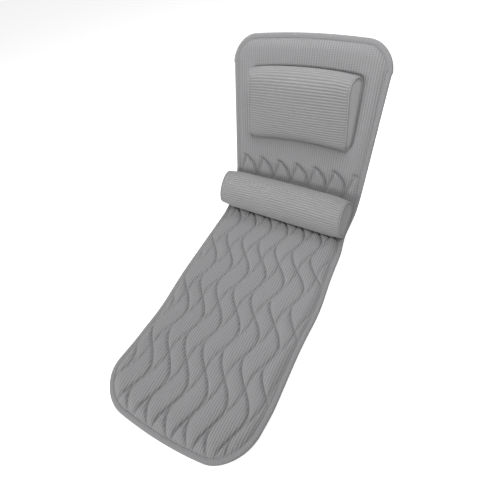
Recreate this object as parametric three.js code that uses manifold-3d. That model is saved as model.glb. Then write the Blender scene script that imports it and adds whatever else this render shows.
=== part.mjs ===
// Full-body bath pillow: a quilted mat bent at the small of the back, with a head pillow and a lumbar roll.
// Millimetres, +Z up, +X to the right of a person looking at the front, +Y from the foot to the head.
// Mat pieces are laid out flat as (x, s, n): s runs along the mat from the fold, n off its middle layer.
import * as THREE from 'three';
import Module from 'manifold-3d';

const wasm = await Module();
wasm.setup();

// Outline of the mat
const MAT_WIDTH = 400;
const HEAD_WIDTH = 430;
const SEAT_LENGTH = 702;
const BACK_LENGTH = 449;
const FOOT_RADIUS = 87;
const HEAD_RADIUS = 67;
const FOOT_BOW = 20;
const HEAD_BOW = 12;

// Bend at the small of the back, in radians
const RECLINE = 1.2;
const BEND_RADIUS = 150;
const BEND_HALF = BEND_RADIUS * RECLINE / 2;
const CLEAR = 0.3;

// Layers, measured off the middle of the mat
const UNDERSIDE_BOTTOM = -9;
const UNDERSIDE_THICKNESS = 2.5;
const PADDING_THICKNESS = 8.2;
const PADDING_SETBACK = 7;
const MARGIN_THICKNESS = 3.5;
const CHANNEL_THICKNESS = 2;
const CROWN_HEIGHT = 4.7;
const PLAIN_HEIGHT = 1.7;
const EDGE_STEP = 1.5;
const EDGE_RISE = 22;
const UNDERSIDE_TOP = UNDERSIDE_BOTTOM + UNDERSIDE_THICKNESS;
const PADDING_BOTTOM = UNDERSIDE_TOP + CLEAR;
const PADDING_TOP = PADDING_BOTTOM + PADDING_THICKNESS;
const MARGIN_TOP = PADDING_BOTTOM + MARGIN_THICKNESS;
const EDGE_LEVEL = MARGIN_TOP + EDGE_STEP;
const CHANNEL_LEVEL = PADDING_TOP + CLEAR + CHANNEL_THICKNESS;
const CROWN_LEVEL = CHANNEL_LEVEL + CROWN_HEIGHT;
const PLAIN_LEVEL = CHANNEL_LEVEL + PLAIN_HEIGHT;

// Binding, a folded strip over the edge of the layers
const BINDING_WIDTH = 13;
const BINDING_WALL = 1.5;
const BINDING_LIP = 2;
const BINDING_ROUND = 3.6;
const PADDING_INSET = BINDING_WIDTH + EDGE_RISE + PADDING_SETBACK;

// Wave quilting
const WAVE_LENGTH = 170;
const WAVE_SPACING = 57;
const WAVE_SWAY = 19;
const WAVE_CENTRE = 4;
const QUILT_TOP = 145;
const QUILT_STEPS = 6;
const QUILT_NEAREST = 0.07;

// Suction cups
const CUP_HEIGHT = 12;
const CUP_RADIUS = 22;
const CUP_RIM = 2.5;
const CUP_HOLLOW = 3.8;
const CUP_FLANGE = 10.5;
const CUP_FLANGE_THICKNESS = 1.4;
const CUP_WAIST = 7;
const CUP_NECK = 5;
const CUP_NECK_PLAY = 0.4;
const CUP_KNOB = 8.5;
const CUP_KNOB_HEIGHT = 3.6;
const CUP_SIDES = 12;
const CUP_SPREAD = 115;
const CUP_FROM_BEND_SEAT = 80;
const CUP_FROM_BEND_BACK = 60;
const CUP_FROM_END = 60;
const CUP_ROWS_SEAT = 5;
const CUP_ROWS_BACK = 3;

// Head pillow
const PILLOW_START = 200;
const PILLOW_LENGTH = 192;
const PILLOW_HALF_WIDTH = 155;
const PILLOW_SLANT = 0.27;
const PILLOW_TOP_DEPTH = 58;
const PILLOW_FOOT_DEPTH = 30;
const PILLOW_EDGE_DEPTH = 5;

// Lumbar roll
const ROLL_LENGTH = 380;
const ROLL_SHIFT = -10;
const ROLL_RADIUS = 54;
const ROLL_CENTRE = 35;
const ROLL_LIFT = 0.8;
const ROLL_SKIRT = 16;
const ROLL_SEAT_ANGLE = 0.33;
const ROLL_SEAT_LEVEL = CROWN_LEVEL + ROLL_LIFT;

// Covers of the pillow and the roll
const COVER_THICKNESS = 2;
const PIPING_RADIUS = 2;
const PIPING_PROUD = 1;
const PIPING_SIDES = 6;
const SEAM_STEP = 2 * PIPING_RADIUS + 2 * CLEAR;
const DRAW_IN = 0.07;
const DRAW_LENGTH = 45;
const END_DOME = 1.5;

const MID_HEIGHT = CUP_HEIGHT - UNDERSIDE_BOTTOM;
const OVERCUT = 2;

const SEAT = {
  sign: -1,
  length: SEAT_LENGTH,
  radius: FOOT_RADIUS,
  bow: FOOT_BOW,
  endHalf: MAT_WIDTH / 2,
  cupRows: CUP_ROWS_SEAT,
  cupStart: BEND_HALF + CUP_FROM_BEND_SEAT,
};
const BACK = {
  sign: 1,
  length: BACK_LENGTH,
  radius: HEAD_RADIUS,
  bow: HEAD_BOW,
  endHalf: HEAD_WIDTH / 2,
  cupRows: CUP_ROWS_BACK,
  cupStart: BEND_HALF + CUP_FROM_BEND_BACK,
};

const clamp = (value, low, high) => Math.min(Math.max(value, low), high);
const mix = (a, b, f) => a + (b - a) * f;
const smooth = (f) => f * f * (3 - 2 * f);

// Point of the bent mat for a point of the flat one
function place(x, s, n) {
  const turn = clamp((s + BEND_HALF) / BEND_RADIUS, 0, RECLINE);
  const before = Math.min(s + BEND_HALF, 0);
  const after = Math.max(s - BEND_HALF, 0);
  const sin = Math.sin(turn);
  const cos = Math.cos(turn);
  const y = before + (BEND_RADIUS - n) * sin + after * cos;
  const z = BEND_RADIUS - (BEND_RADIUS - n) * cos + after * sin;
  return new THREE.Vector3(x, y, z + MID_HEIGHT);
}

// Closed geometry from points and triangles, turned to face outward
function closedGeometry(points, faces) {
  let volume = 0;
  const cross = new THREE.Vector3();
  for (const [a, b, c] of faces) {
    volume += points[a].dot(cross.crossVectors(points[b], points[c]));
  }
  const geometry = new THREE.BufferGeometry();
  geometry.setFromPoints(points);
  geometry.setIndex(faces.flatMap(([a, b, c]) => (volume < 0 ? [a, c, b] : [a, b, c])));
  return geometry;
}

// Triangles of a band between two rings of the same count
function bandFaces(first, second, count) {
  const faces = [];
  for (let i = 0; i < count; i += 1) {
    const j = (i + 1) % count;
    faces.push([first + i, first + j, second + j], [first + i, second + j, second + i]);
  }
  return faces;
}

// Body through a row of rings; capped at both ends with the triangles of the flat section
function loft(rings, section) {
  const count = rings[0].length;
  const faces = [];
  for (let i = 0; i + 1 < rings.length; i += 1) {
    faces.push(...bandFaces(i * count, (i + 1) * count, count));
  }
  const flat = section.map(([a, b]) => new THREE.Vector2(a, b));
  const last = (rings.length - 1) * count;
  for (const [a, b, c] of capTriangles(flat)) {
    faces.push([c, b, a], [last + a, last + b, last + c]);
  }
  return closedGeometry(rings.flat(), faces);
}

function capTriangles(flat) {
  const turned = THREE.ShapeUtils.isClockWise(flat);
  const count = flat.length;
  const ring = turned ? [...flat].reverse() : flat;
  const triangles = THREE.ShapeUtils.triangulateShape(ring, []);
  if (!turned) return triangles;
  return triangles.map(([a, b, c]) => [count - 1 - c, count - 1 - b, count - 1 - a]);
}

// Body through a row of rings that comes back to its start
function loopLoft(rings) {
  const count = rings[0].length;
  const faces = [];
  for (let i = 0; i < rings.length; i += 1) {
    faces.push(...bandFaces(i * count, ((i + 1) % rings.length) * count, count));
  }
  return closedGeometry(rings.flat(), faces);
}

function toManifold(geometry) {
  const vertProperties = new Float32Array(geometry.getAttribute('position').array);
  const triVerts = new Uint32Array(geometry.getIndex().array);
  return new wasm.Manifold(new wasm.Mesh({ numProp: 3, vertProperties, triVerts }));
}

function fromManifold(body) {
  const mesh = body.getMesh();
  const geometry = new THREE.BufferGeometry();
  geometry.setAttribute('position', new THREE.BufferAttribute(new Float32Array(mesh.vertProperties), 3));
  geometry.setIndex(new THREE.BufferAttribute(new Uint32Array(mesh.triVerts), 1));
  return geometry;
}

// Right-hand edge of one half of the mat, from the fold to the middle of its end
function edgeCurve(half) {
  const { length, radius, bow, endHalf } = half;
  const widthAt = (s) => mix(MAT_WIDTH / 2, endHalf, clamp(s / length, 0, 1));
  const curve = bendStations(half).map((s) => [widthAt(s), s]);
  const straight = length - radius - BEND_HALF;
  for (let i = 1; i <= 3; i += 1) {
    const s = BEND_HALF + straight * i / 4;
    curve.push([widthAt(s), s]);
  }
  const cornerSteps = 7;
  for (let i = 0; i <= cornerSteps; i += 1) {
    const a = Math.PI / 2 * i / cornerSteps;
    curve.push([endHalf - radius * (1 - Math.cos(a)), length - radius * (1 - Math.sin(a))]);
  }
  const flatHalf = endHalf - radius;
  for (let i = 1; i <= 3; i += 1) {
    curve.push([flatHalf * (1 - i * 0.28), length]);
  }
  return curve.map(([x, s]) => {
    const reach = clamp((s - (length - radius)) / radius, 0, 1);
    return [x, s + bow * (1 - (x / endHalf) ** 2) * reach];
  });
}

// Stations along the bend, shared by every layer so that their facets stay parallel
function bendStations(half) {
  const step = WAVE_LENGTH / QUILT_STEPS;
  const stations = [CLEAR / 2];
  for (let i = -80; i <= 80; i += 1) {
    const s = half.sign * (QUILT_TOP - i * step);
    if (s > CLEAR && s < BEND_HALF - CLEAR) stations.push(s);
  }
  stations.push(BEND_HALF);
  return stations.sort((a, b) => a - b);
}

// Inward directions along an edge curve, square to the mat's width at the fold
function edgeNormals(curve) {
  return curve.map((point, i) => {
    if (i === 0) return [-1, 0];
    const next = curve[Math.min(i + 1, curve.length - 1)];
    const dx = next[0] - curve[i - 1][0];
    const ds = next[1] - curve[i - 1][1];
    const size = Math.hypot(dx, ds);
    return [-ds / size, dx / size];
  });
}

function insetCurve(half, inset) {
  const curve = edgeCurve(half);
  const normals = edgeNormals(curve);
  return curve.map(([x, s], i) => [x + normals[i][0] * inset, s + normals[i][1] * inset]);
}

// Layer of one half, cut to the outline moved in by an inset
function layer(half, inset, bottom, top) {
  const section = [[-1, bottom], [1, bottom], [1, top], [-1, top]];
  const rings = insetCurve(half, inset).map(([x, s]) => (
    section.map(([side, n]) => place(side * x, half.sign * s, n))
  ));
  return loft(rings, section);
}

function edgeDistance(curve, x, s) {
  let nearest = Infinity;
  const px = Math.abs(x);
  for (let i = 0; i + 1 < curve.length; i += 1) {
    const [ax, as] = curve[i];
    const [bx, bs] = curve[i + 1];
    const dx = bx - ax;
    const ds = bs - as;
    const f = clamp(((px - ax) * dx + (s - as) * ds) / (dx * dx + ds * ds), 0, 1);
    const away = Math.hypot(px - ax - dx * f, s - as - ds * f);
    const outside = (px - ax) * ds - (s - as) * dx > 0;
    if (away < Math.abs(nearest)) nearest = outside ? -away : away;
  }
  return nearest;
}

// One row of quilting: seam and crown columns across the width, as [x, level]
function quiltRow(s) {
  const t = Math.max((QUILT_TOP - s) / WAVE_LENGTH, 0);
  const phase = t % 1;
  const fold = Math.min(phase, 1 - phase);
  const g = clamp(fold, QUILT_NEAREST, 0.5 - QUILT_NEAREST);
  const span = 0.5 - 2 * QUILT_NEAREST;
  const wide = Math.sin(Math.PI / 2 * (g - QUILT_NEAREST) / span);
  const narrow = Math.sin(Math.PI / 2 * (0.5 - QUILT_NEAREST - g) / span);
  const columns = [
    [0, mix(CHANNEL_LEVEL, CROWN_LEVEL, wide)],
    [g, CHANNEL_LEVEL],
    [0.5, mix(CHANNEL_LEVEL, CROWN_LEVEL, narrow)],
    [1 - g, CHANNEL_LEVEL],
  ];
  const sway = WAVE_CENTRE + WAVE_SWAY * Math.sin(2 * Math.PI * t);
  const cells = Math.ceil((HEAD_WIDTH / 2 + WAVE_SWAY) / WAVE_SPACING) + 1;
  const row = [];
  for (let k = -cells; k < cells; k += 1) {
    for (const [u, level] of columns) {
      row.push([sway + WAVE_SPACING * (k + u), s > QUILT_TOP + CLEAR ? PLAIN_LEVEL : level]);
    }
  }
  return row;
}

// Stations of the quilted cover along one half
function quiltStations(half) {
  const step = WAVE_LENGTH / QUILT_STEPS;
  const stations = [half.sign * CLEAR / 2];
  const reach = half.length + half.bow + step;
  for (let i = 0; i <= 200; i += 1) {
    const s = QUILT_TOP - i * step;
    if (s * half.sign > CLEAR && s * half.sign < reach) stations.push(s);
  }
  if (half.sign > 0) {
    const end = half.length + half.bow;
    stations.push(QUILT_TOP + BINDING_WIDTH, mix(QUILT_TOP, end, 0.5));
    for (const away of [4.5, 3, 2, 1, -1]) stations.push(end - BINDING_WIDTH * away);
  }
  const sorted = stations.sort((a, b) => (a - b) * half.sign);
  if (half.sign < 0) sorted.push(-reach - step);
  return sorted.concat(half.sign * BEND_HALF).sort((a, b) => (a - b) * half.sign);
}

// Blank of the quilted cover: crowned cells over a flat underside, falling toward the binding
function quiltBlank(half) {
  const curve = edgeCurve(half);
  const points = [];
  const faces = [];
  const stations = quiltStations(half);
  const count = quiltRow(0).length;
  const stride = count + 2;
  for (const s of stations) {
    const row = quiltRow(s);
    for (const [x, level] of row) {
      const inward = edgeDistance(curve, x, s * half.sign) - BINDING_WIDTH;
      const rise = smooth(clamp(inward / EDGE_RISE, 0, 1));
      points.push(place(x, s, mix(EDGE_LEVEL, level, rise)));
    }
    points.push(place(row[count - 1][0], s, PADDING_BOTTOM));
    points.push(place(row[0][0], s, PADDING_BOTTOM));
  }
  for (let i = 0; i + 1 < stations.length; i += 1) {
    faces.push(...bandFaces(i * stride, (i + 1) * stride, stride));
  }
  const last = (stations.length - 1) * stride;
  for (const [base, turn] of [[0, false], [last, true]]) {
    const corner = base + count + 1;
    for (let j = 0; j < count; j += 1) {
      const a = base + j;
      const b = base + j + 1;
      faces.push(turn ? [corner, a, b] : [corner, b, a]);
    }
  }
  return closedGeometry(points, faces);
}

// Quilted front cover: crowned field, thin margin under the binding, hollow below for the padding
function frontCover(half) {
  const blank = toManifold(quiltBlank(half));
  const low = PADDING_BOTTOM - OVERCUT;
  const field = toManifold(layer(half, BINDING_WIDTH + CLEAR, low, CROWN_LEVEL + OVERCUT));
  const margin = toManifold(layer(half, BINDING_WALL + CLEAR, PADDING_BOTTOM, MARGIN_TOP));
  const hollow = toManifold(layer(half, PADDING_INSET - CLEAR, low, PADDING_TOP + CLEAR));
  return fromManifold(blank.intersect(field).add(margin).subtract(hollow));
}

// Middle of each cup in the flat layout
function cupCentres(half) {
  const far = half.length - CUP_FROM_END;
  const centres = [];
  for (let i = 0; i < half.cupRows; i += 1) {
    const s = half.sign * mix(half.cupStart, far, i / (half.cupRows - 1));
    if (i % 2 === 0) centres.push([-CUP_SPREAD, s], [CUP_SPREAD, s]);
    else centres.push([0, s]);
  }
  return centres;
}

// Turned body standing on the mat, from a profile of [radius, n]
function turned(x, s, profile) {
  const rings = profile.map(([r, n]) => {
    const ring = [];
    for (let i = 0; i < CUP_SIDES; i += 1) {
      const a = 2 * Math.PI * i / CUP_SIDES;
      ring.push(place(x + r * Math.cos(a), s + r * Math.sin(a), n));
    }
    return ring;
  });
  const section = rings[0].map((_, i) => {
    const a = 2 * Math.PI * i / CUP_SIDES;
    return [Math.cos(a), Math.sin(a)];
  });
  return loft(rings, section);
}

function suctionCup(x, s) {
  const rim = UNDERSIDE_BOTTOM - CUP_HEIGHT;
  const seat = UNDERSIDE_BOTTOM - CLEAR;
  const knob = UNDERSIDE_TOP + CLEAR;
  const inner = CUP_RADIUS - CUP_RIM;
  return turned(x, s, [
    [inner * 0.2, rim + CUP_HOLLOW],
    [inner * 0.65, rim + CUP_HOLLOW * 0.75],
    [inner, rim],
    [CUP_RADIUS, rim],
    [CUP_RADIUS * 0.6, rim + CUP_HEIGHT * 0.5],
    [CUP_WAIST, rim + CUP_HEIGHT * 0.72],
    [CUP_FLANGE, seat - CUP_FLANGE_THICKNESS],
    [CUP_FLANGE, seat],
    [CUP_NECK, seat],
    [CUP_NECK, knob],
    [CUP_KNOB, knob],
    [CUP_KNOB * 0.75, knob + CUP_KNOB_HEIGHT],
  ]);
}

function withBores(geometry, half, radius, bottom, top) {
  let body = toManifold(geometry);
  for (const [x, s] of cupCentres(half)) {
    body = body.subtract(toManifold(turned(x, s, [[radius, bottom], [radius, top]])));
  }
  return fromManifold(body);
}

function padding(half) {
  const sheet = layer(half, PADDING_INSET, PADDING_BOTTOM, PADDING_TOP);
  const top = PADDING_BOTTOM + CUP_KNOB_HEIGHT + CLEAR * 2;
  return withBores(sheet, half, CUP_KNOB + CUP_NECK_PLAY, PADDING_BOTTOM - OVERCUT, top);
}

function underside(half) {
  const sheet = layer(half, BINDING_WALL + CLEAR, UNDERSIDE_BOTTOM, UNDERSIDE_TOP);
  const low = UNDERSIDE_BOTTOM - OVERCUT;
  return withBores(sheet, half, CUP_NECK + CUP_NECK_PLAY, low, UNDERSIDE_TOP + OVERCUT);
}

// Folded edge strip: a channel section run along the edge from the fold, round the end and back
function binding(half) {
  const slotTop = MARGIN_TOP + CLEAR;
  const slotBottom = UNDERSIDE_BOTTOM - CLEAR;
  const top = slotTop + BINDING_LIP;
  const bottom = slotBottom - BINDING_LIP;
  const corner = (level, from) => [0, 1, 2, 3].map((i) => {
    const a = Math.PI * (from + i / 6);
    return [BINDING_ROUND * (1 + Math.cos(a)), level + BINDING_ROUND * Math.sin(a)];
  });
  const section = [
    [BINDING_WIDTH, top],
    ...corner(top - BINDING_ROUND, 0.5),
    ...corner(bottom + BINDING_ROUND, 1),
    [BINDING_WIDTH, bottom],
    [BINDING_WIDTH, slotBottom],
    [BINDING_WALL, slotBottom],
    [BINDING_WALL, slotTop],
    [BINDING_WIDTH, slotTop],
  ];
  const curve = edgeCurve(half);
  const normals = edgeNormals(curve);
  const ringAt = (i, side) => section.map(([u, n]) => (
    place(side * (curve[i][0] + normals[i][0] * u), half.sign * (curve[i][1] + normals[i][1] * u), n)
  ));
  const rings = curve.map((_, i) => ringAt(i, 1));
  for (let i = curve.length - 1; i >= 0; i -= 1) rings.push(ringAt(i, -1));
  return loft(rings, section);
}

// Outline moved inward by an even amount
function insetOutline(outline, inset) {
  const count = outline.length;
  const area = outline.reduce((sum, [a, b], i) => {
    const [c, d] = outline[(i + 1) % count];
    return sum + a * d - b * c;
  }, 0);
  const side = area > 0 ? 1 : -1;
  return outline.map(([a, b], i) => {
    const [pa, pb] = outline[(i + count - 1) % count];
    const [na, nb] = outline[(i + 1) % count];
    const first = new THREE.Vector2(a - pa, b - pb).normalize();
    const second = new THREE.Vector2(na - a, nb - b).normalize();
    const bisector = first.clone().add(second).normalize();
    const spread = Math.max(bisector.dot(second), 0.6);
    return [a - side * bisector.y * inset / spread, b + side * bisector.x * inset / spread];
  });
}

// Fullness of a cushion at a distance from its end: drawn in at the seam, full further in
function fullness(away) {
  return 1 - DRAW_IN * (1 - smooth(clamp(away / DRAW_LENGTH, 0, 1)));
}

// Ring round a cushion at a distance from one end, moved inward by an inset and then shrunk to its middle
function cushionRing(cushion, side, away, inset, shrink = 1) {
  const size = fullness(Math.max(away, 0));
  const [pa, pb] = cushion.pivot;
  const [ma, mb] = cushion.middle;
  return insetOutline(cushion.outline, inset).map(([a, b]) => {
    const da = pa + (mix(ma, a, shrink) - pa) * size;
    const db = pb + (mix(mb, b, shrink) - pb) * size;
    const reach = cushion.halfLength(db) - away;
    return cushion.place(cushion.shift + side * reach, da, db);
  });
}

const CUSHION_STATIONS = [0, 0.3, 1, 2.4].map((f) => f * DRAW_LENGTH);

function cushionSleeve(cushion) {
  const outer = CUSHION_STATIONS.map((away) => cushionRing(cushion, -1, away, 0));
  for (const away of [...CUSHION_STATIONS].reverse()) outer.push(cushionRing(cushion, 1, away, 0));
  const inner = CUSHION_STATIONS.map((away) => cushionRing(cushion, 1, away, COVER_THICKNESS));
  for (const away of [...CUSHION_STATIONS].reverse()) {
    inner.push(cushionRing(cushion, -1, away, COVER_THICKNESS));
  }
  return loopLoft([...outer, ...inner]);
}

function cushionCore(cushion) {
  const snug = COVER_THICKNESS + CLEAR;
  const slim = 2 * PIPING_RADIUS + COVER_THICKNESS;
  const neck = 2 * COVER_THICKNESS;
  const full = CUSHION_STATIONS.slice(1).map((away) => [away, snug]);
  const stations = [[CLEAR - SEAM_STEP, slim], [neck / 2, slim], [neck, snug], ...full];
  const rings = stations.map(([away, inset]) => cushionRing(cushion, -1, away, inset));
  for (const [away, inset] of [...stations].reverse()) rings.push(cushionRing(cushion, 1, away, inset));
  return loft(rings, insetOutline(cushion.outline, slim));
}

// End panel: a thin plate, a little domed
function cushionEnd(cushion, side) {
  const edge = -SEAM_STEP;
  const rings = [
    cushionRing(cushion, side, edge, 0),
    cushionRing(cushion, side, edge - COVER_THICKNESS, 0),
    cushionRing(cushion, side, edge - COVER_THICKNESS - END_DOME, 0, 0.65),
  ];
  return loft(rings, cushion.outline);
}

// Cord round the seam between the sleeve and an end panel
function cushionPiping(cushion, side) {
  const rings = [];
  for (let i = 0; i < PIPING_SIDES; i += 1) {
    const a = 2 * Math.PI * i / PIPING_SIDES;
    const away = -SEAM_STEP / 2 + PIPING_RADIUS * Math.cos(a);
    rings.push(cushionRing(cushion, side, away, PIPING_RADIUS * (1 + Math.sin(a)) - PIPING_PROUD));
  }
  return loopLoft(rings);
}

// Head pillow: deep at the top, shallow at the foot, flat against the mat
function pillowCushion() {
  const base = PLAIN_LEVEL + CLEAR + PIPING_PROUD;
  const outline = [];
  const steps = 14;
  for (let i = 0; i <= steps; i += 1) {
    const u = 0.5 - 0.5 * Math.cos(Math.PI * i / steps);
    const depth = mix(PILLOW_FOOT_DEPTH, PILLOW_TOP_DEPTH, smooth(u));
    const round = Math.sqrt(Math.max(1 - Math.abs(2 * u - 1) ** 5, 0));
    outline.push([PILLOW_START + PILLOW_LENGTH * u, base + mix(PILLOW_EDGE_DEPTH, depth, round)]);
  }
  for (let i = 0; i < 5; i += 1) {
    outline.push([PILLOW_START + PILLOW_LENGTH * (0.98 - 0.24 * i), base]);
  }
  return {
    outline,
    pivot: [PILLOW_START + PILLOW_LENGTH / 2, base],
    middle: [PILLOW_START + PILLOW_LENGTH * 0.58, base + PILLOW_TOP_DEPTH * 0.4],
    shift: 0,
    halfLength: (n) => PILLOW_HALF_WIDTH - PILLOW_SLANT * (n - base),
    place,
  };
}

// Lumbar roll: round in front, flattened where it lies in the bend
function rollCushion() {
  const outline = [];
  const front = 16;
  const low = Math.asin((ROLL_SEAT_LEVEL + ROLL_SKIRT - ROLL_CENTRE) / ROLL_RADIUS);
  for (let i = 0; i <= front; i += 1) {
    const a = mix(low, Math.PI - low, i / front);
    outline.push([ROLL_RADIUS * Math.cos(a), ROLL_CENTRE + ROLL_RADIUS * Math.sin(a)]);
  }
  const rest = 7;
  const radius = BEND_RADIUS - ROLL_SEAT_LEVEL;
  for (let i = 0; i < rest; i += 1) {
    const a = mix(-ROLL_SEAT_ANGLE, ROLL_SEAT_ANGLE, i / (rest - 1));
    outline.push([radius * Math.sin(a), BEND_RADIUS - radius * Math.cos(a)]);
  }
  const tilt = RECLINE / 2;
  const origin = place(0, 0, 0);
  return {
    outline,
    pivot: [0, ROLL_CENTRE],
    middle: [0, ROLL_CENTRE],
    shift: ROLL_SHIFT,
    halfLength: () => ROLL_LENGTH / 2 - SEAM_STEP - COVER_THICKNESS,
    place: (x, p, q) => new THREE.Vector3(
      x,
      origin.y + p * Math.cos(tilt) - q * Math.sin(tilt),
      origin.z + p * Math.sin(tilt) + q * Math.cos(tilt),
    ),
  };
}

const COLOURS = {
  front: 0x8f8f92,
  binding: 0x858588,
  underside: 0xb9babd,
  padding: 0xe9e7df,
  sleeve: 0x97979a,
  end: 0x949497,
  piping: 0x9d9da0,
  core: 0xece8da,
  cup: 0xc9d2d6,
};

const group = new THREE.Group();
group.name = 'bath_pillow';

function addPart(name, geometry, colour, roughness) {
  const material = new THREE.MeshStandardMaterial({ color: colour, roughness, metalness: 0 });
  const mesh = new THREE.Mesh(geometry, material);
  mesh.name = name;
  geometry.computeVertexNormals();
  group.add(mesh);
}

for (const [name, half] of [['seat', SEAT], ['back', BACK]]) {
  addPart(`${name}_front_cover`, frontCover(half), COLOURS.front, 0.95);
  addPart(`${name}_padding`, padding(half), COLOURS.padding, 1);
  addPart(`${name}_underside`, underside(half), COLOURS.underside, 0.95);
  addPart(`${name}_binding`, binding(half), COLOURS.binding, 0.9);
  cupCentres(half).forEach(([x, s], i) => {
    addPart(`${name}_cup_${i + 1}`, suctionCup(x, s), COLOURS.cup, 0.25);
  });
}

for (const [name, cushion, endName] of [
  ['pillow', pillowCushion(), 'gusset'],
  ['roll', rollCushion(), 'end'],
]) {
  addPart(`${name}_sleeve`, cushionSleeve(cushion), COLOURS.sleeve, 0.95);
  addPart(`${name}_core`, cushionCore(cushion), COLOURS.core, 1);
  for (const [sideName, side] of [['left', -1], ['right', 1]]) {
    addPart(`${name}_${endName}_${sideName}`, cushionEnd(cushion, side), COLOURS.end, 0.9);
    addPart(`${name}_piping_${sideName}`, cushionPiping(cushion, side), COLOURS.piping, 0.85);
  }
}

// Stand the part on its cups with the middle of its box over the origin
const box = new THREE.Box3().setFromObject(group);
const centre = box.getCenter(new THREE.Vector3());
for (const mesh of group.children) {
  mesh.geometry.translate(-centre.x, -centre.y, -box.min.z);
}

export default group;
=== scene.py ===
"""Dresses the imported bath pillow: quilted mat, head pillow, lumbar roll, suction cups and studio."""

import logging
import math
from abc import ABC, abstractmethod
from dataclasses import dataclass
from enum import Enum
from typing import Any, Optional, Sequence, Union

import bmesh
import bpy
import numpy as np
from mathutils import Euler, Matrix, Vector

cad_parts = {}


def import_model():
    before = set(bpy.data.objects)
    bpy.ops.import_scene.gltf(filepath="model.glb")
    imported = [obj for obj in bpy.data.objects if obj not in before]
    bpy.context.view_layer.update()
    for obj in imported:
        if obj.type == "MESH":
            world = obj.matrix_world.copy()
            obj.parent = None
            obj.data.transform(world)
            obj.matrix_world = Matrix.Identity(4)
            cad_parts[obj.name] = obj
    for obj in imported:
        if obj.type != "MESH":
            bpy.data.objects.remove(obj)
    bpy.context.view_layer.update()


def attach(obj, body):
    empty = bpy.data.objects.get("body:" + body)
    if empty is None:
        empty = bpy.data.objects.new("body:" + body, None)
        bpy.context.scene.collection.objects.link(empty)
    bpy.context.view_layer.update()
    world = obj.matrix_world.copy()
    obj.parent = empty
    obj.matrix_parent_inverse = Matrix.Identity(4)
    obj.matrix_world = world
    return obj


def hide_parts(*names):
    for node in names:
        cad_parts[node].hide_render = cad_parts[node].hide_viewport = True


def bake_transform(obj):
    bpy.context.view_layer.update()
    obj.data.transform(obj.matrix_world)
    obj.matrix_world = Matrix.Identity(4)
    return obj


LOG = logging.getLogger("bath_pillow")
# Point mark of nearness to a seam; the cloth finishes darken by it as painted shade along seams, creases
# and the binding's edge.
SEAM = "seam"
RAYS = ("Camera", "Glossy", "Transmission")
END_GAP = 1e-4
WELD_GAP = 2e-6
SPECK = 1e-7
TINY = 1e-9

Array = np.ndarray
Colour = tuple[float, float, float]
Place = tuple[float, float, float]
Path = tuple[Array, Array, bool]
Settings = Optional[dict[str, Any]]
Inputs = Optional[dict[Union[str, int], Any]]
Value = Union["Wire", float, int]


class Body(Enum):
    """Bodies of the frame that a piece can ride on."""

    SEAT = "seat"
    BACK = "back"


class Slot(Enum):
    """Material slots of the record."""

    FRONT = "front_mesh"
    BINDING = "binding"
    UNDERSIDE = "underside"
    CUSHION = "cushion_mesh"
    PANEL = "end_panel"
    PIPING = "piping"
    CUP = "cup"


class Side(Enum):
    """Ends of a cushion."""

    LEFT = -1
    RIGHT = 1


class Wire:
    """An output socket of a shader node that takes part in Python arithmetic."""

    def __init__(self, nodes: "Nodes", socket: bpy.types.NodeSocket) -> None:
        """Keeps the socket and the tree that it belongs to."""
        self.nodes = nodes
        self.socket = socket

    def __add__(self, other: Value) -> "Wire":
        """Sum."""
        return self.nodes.math("ADD", self, other)

    __radd__ = __add__

    def __sub__(self, other: Value) -> "Wire":
        """Difference."""
        return self.nodes.math("SUBTRACT", self, other)

    def __rsub__(self, other: Value) -> "Wire":
        """Difference with the number first."""
        return self.nodes.math("SUBTRACT", other, self)

    def __mul__(self, other: Value) -> "Wire":
        """Product."""
        return self.nodes.math("MULTIPLY", self, other)

    __rmul__ = __mul__

    def __truediv__(self, other: Value) -> "Wire":
        """Quotient."""
        return self.nodes.math("DIVIDE", self, other)

    def __rtruediv__(self, other: Value) -> "Wire":
        """Quotient with the number first."""
        return self.nodes.math("DIVIDE", other, self)

    def wave(self, pitch: float) -> "Wire":
        """Cosine wave of a given pitch, from 0 to 1."""
        return self.nodes.math("COSINE", self * (2 * math.pi / pitch)) * 0.5 + 0.5

    def floor(self) -> "Wire":
        """Whole part."""
        return self.nodes.math("FLOOR", self)

    def step(self, low: float, high: float) -> "Wire":
        """Smooth step from 0 at low to 1 at high."""
        inputs = {"Value": self, "From Min": low, "From Max": high}
        return self.nodes.node("ShaderNodeMapRange", {"interpolation_type": "SMOOTHSTEP"}, inputs)


class Tree:
    """A node tree whose nodes are all added by one method."""

    def __init__(self, tree: bpy.types.NodeTree) -> None:
        """Empties the tree."""
        self.tree = tree
        self.tree.nodes.clear()

    def add(self, kind: str, settings: Settings = None, inputs: Inputs = None) -> bpy.types.Node:
        """Adds any node.

        Args:
            kind: Blender's name of the node type.
            settings: properties, set before the sockets.
            inputs: values, wires or outputs for its sockets, by name or index.

        Returns:
            The node.
        """
        made = self.tree.nodes.new(kind)
        for name, value in (settings or {}).items():
            setattr(made, name, value)
        for name, value in (inputs or {}).items():
            self.feed(made.inputs[name], value)
        return made

    def feed(self, socket: bpy.types.NodeSocket, value: Any) -> None:
        """Links a wire or an output to a socket, or sets the socket's value.

        Args:
            socket: an input of a node.
            value: the wire, output or value.
        """
        source = value.socket if isinstance(value, Wire) else value
        if isinstance(source, bpy.types.NodeSocket):
            self.tree.links.new(source, socket)
        else:
            socket.default_value = source


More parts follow.
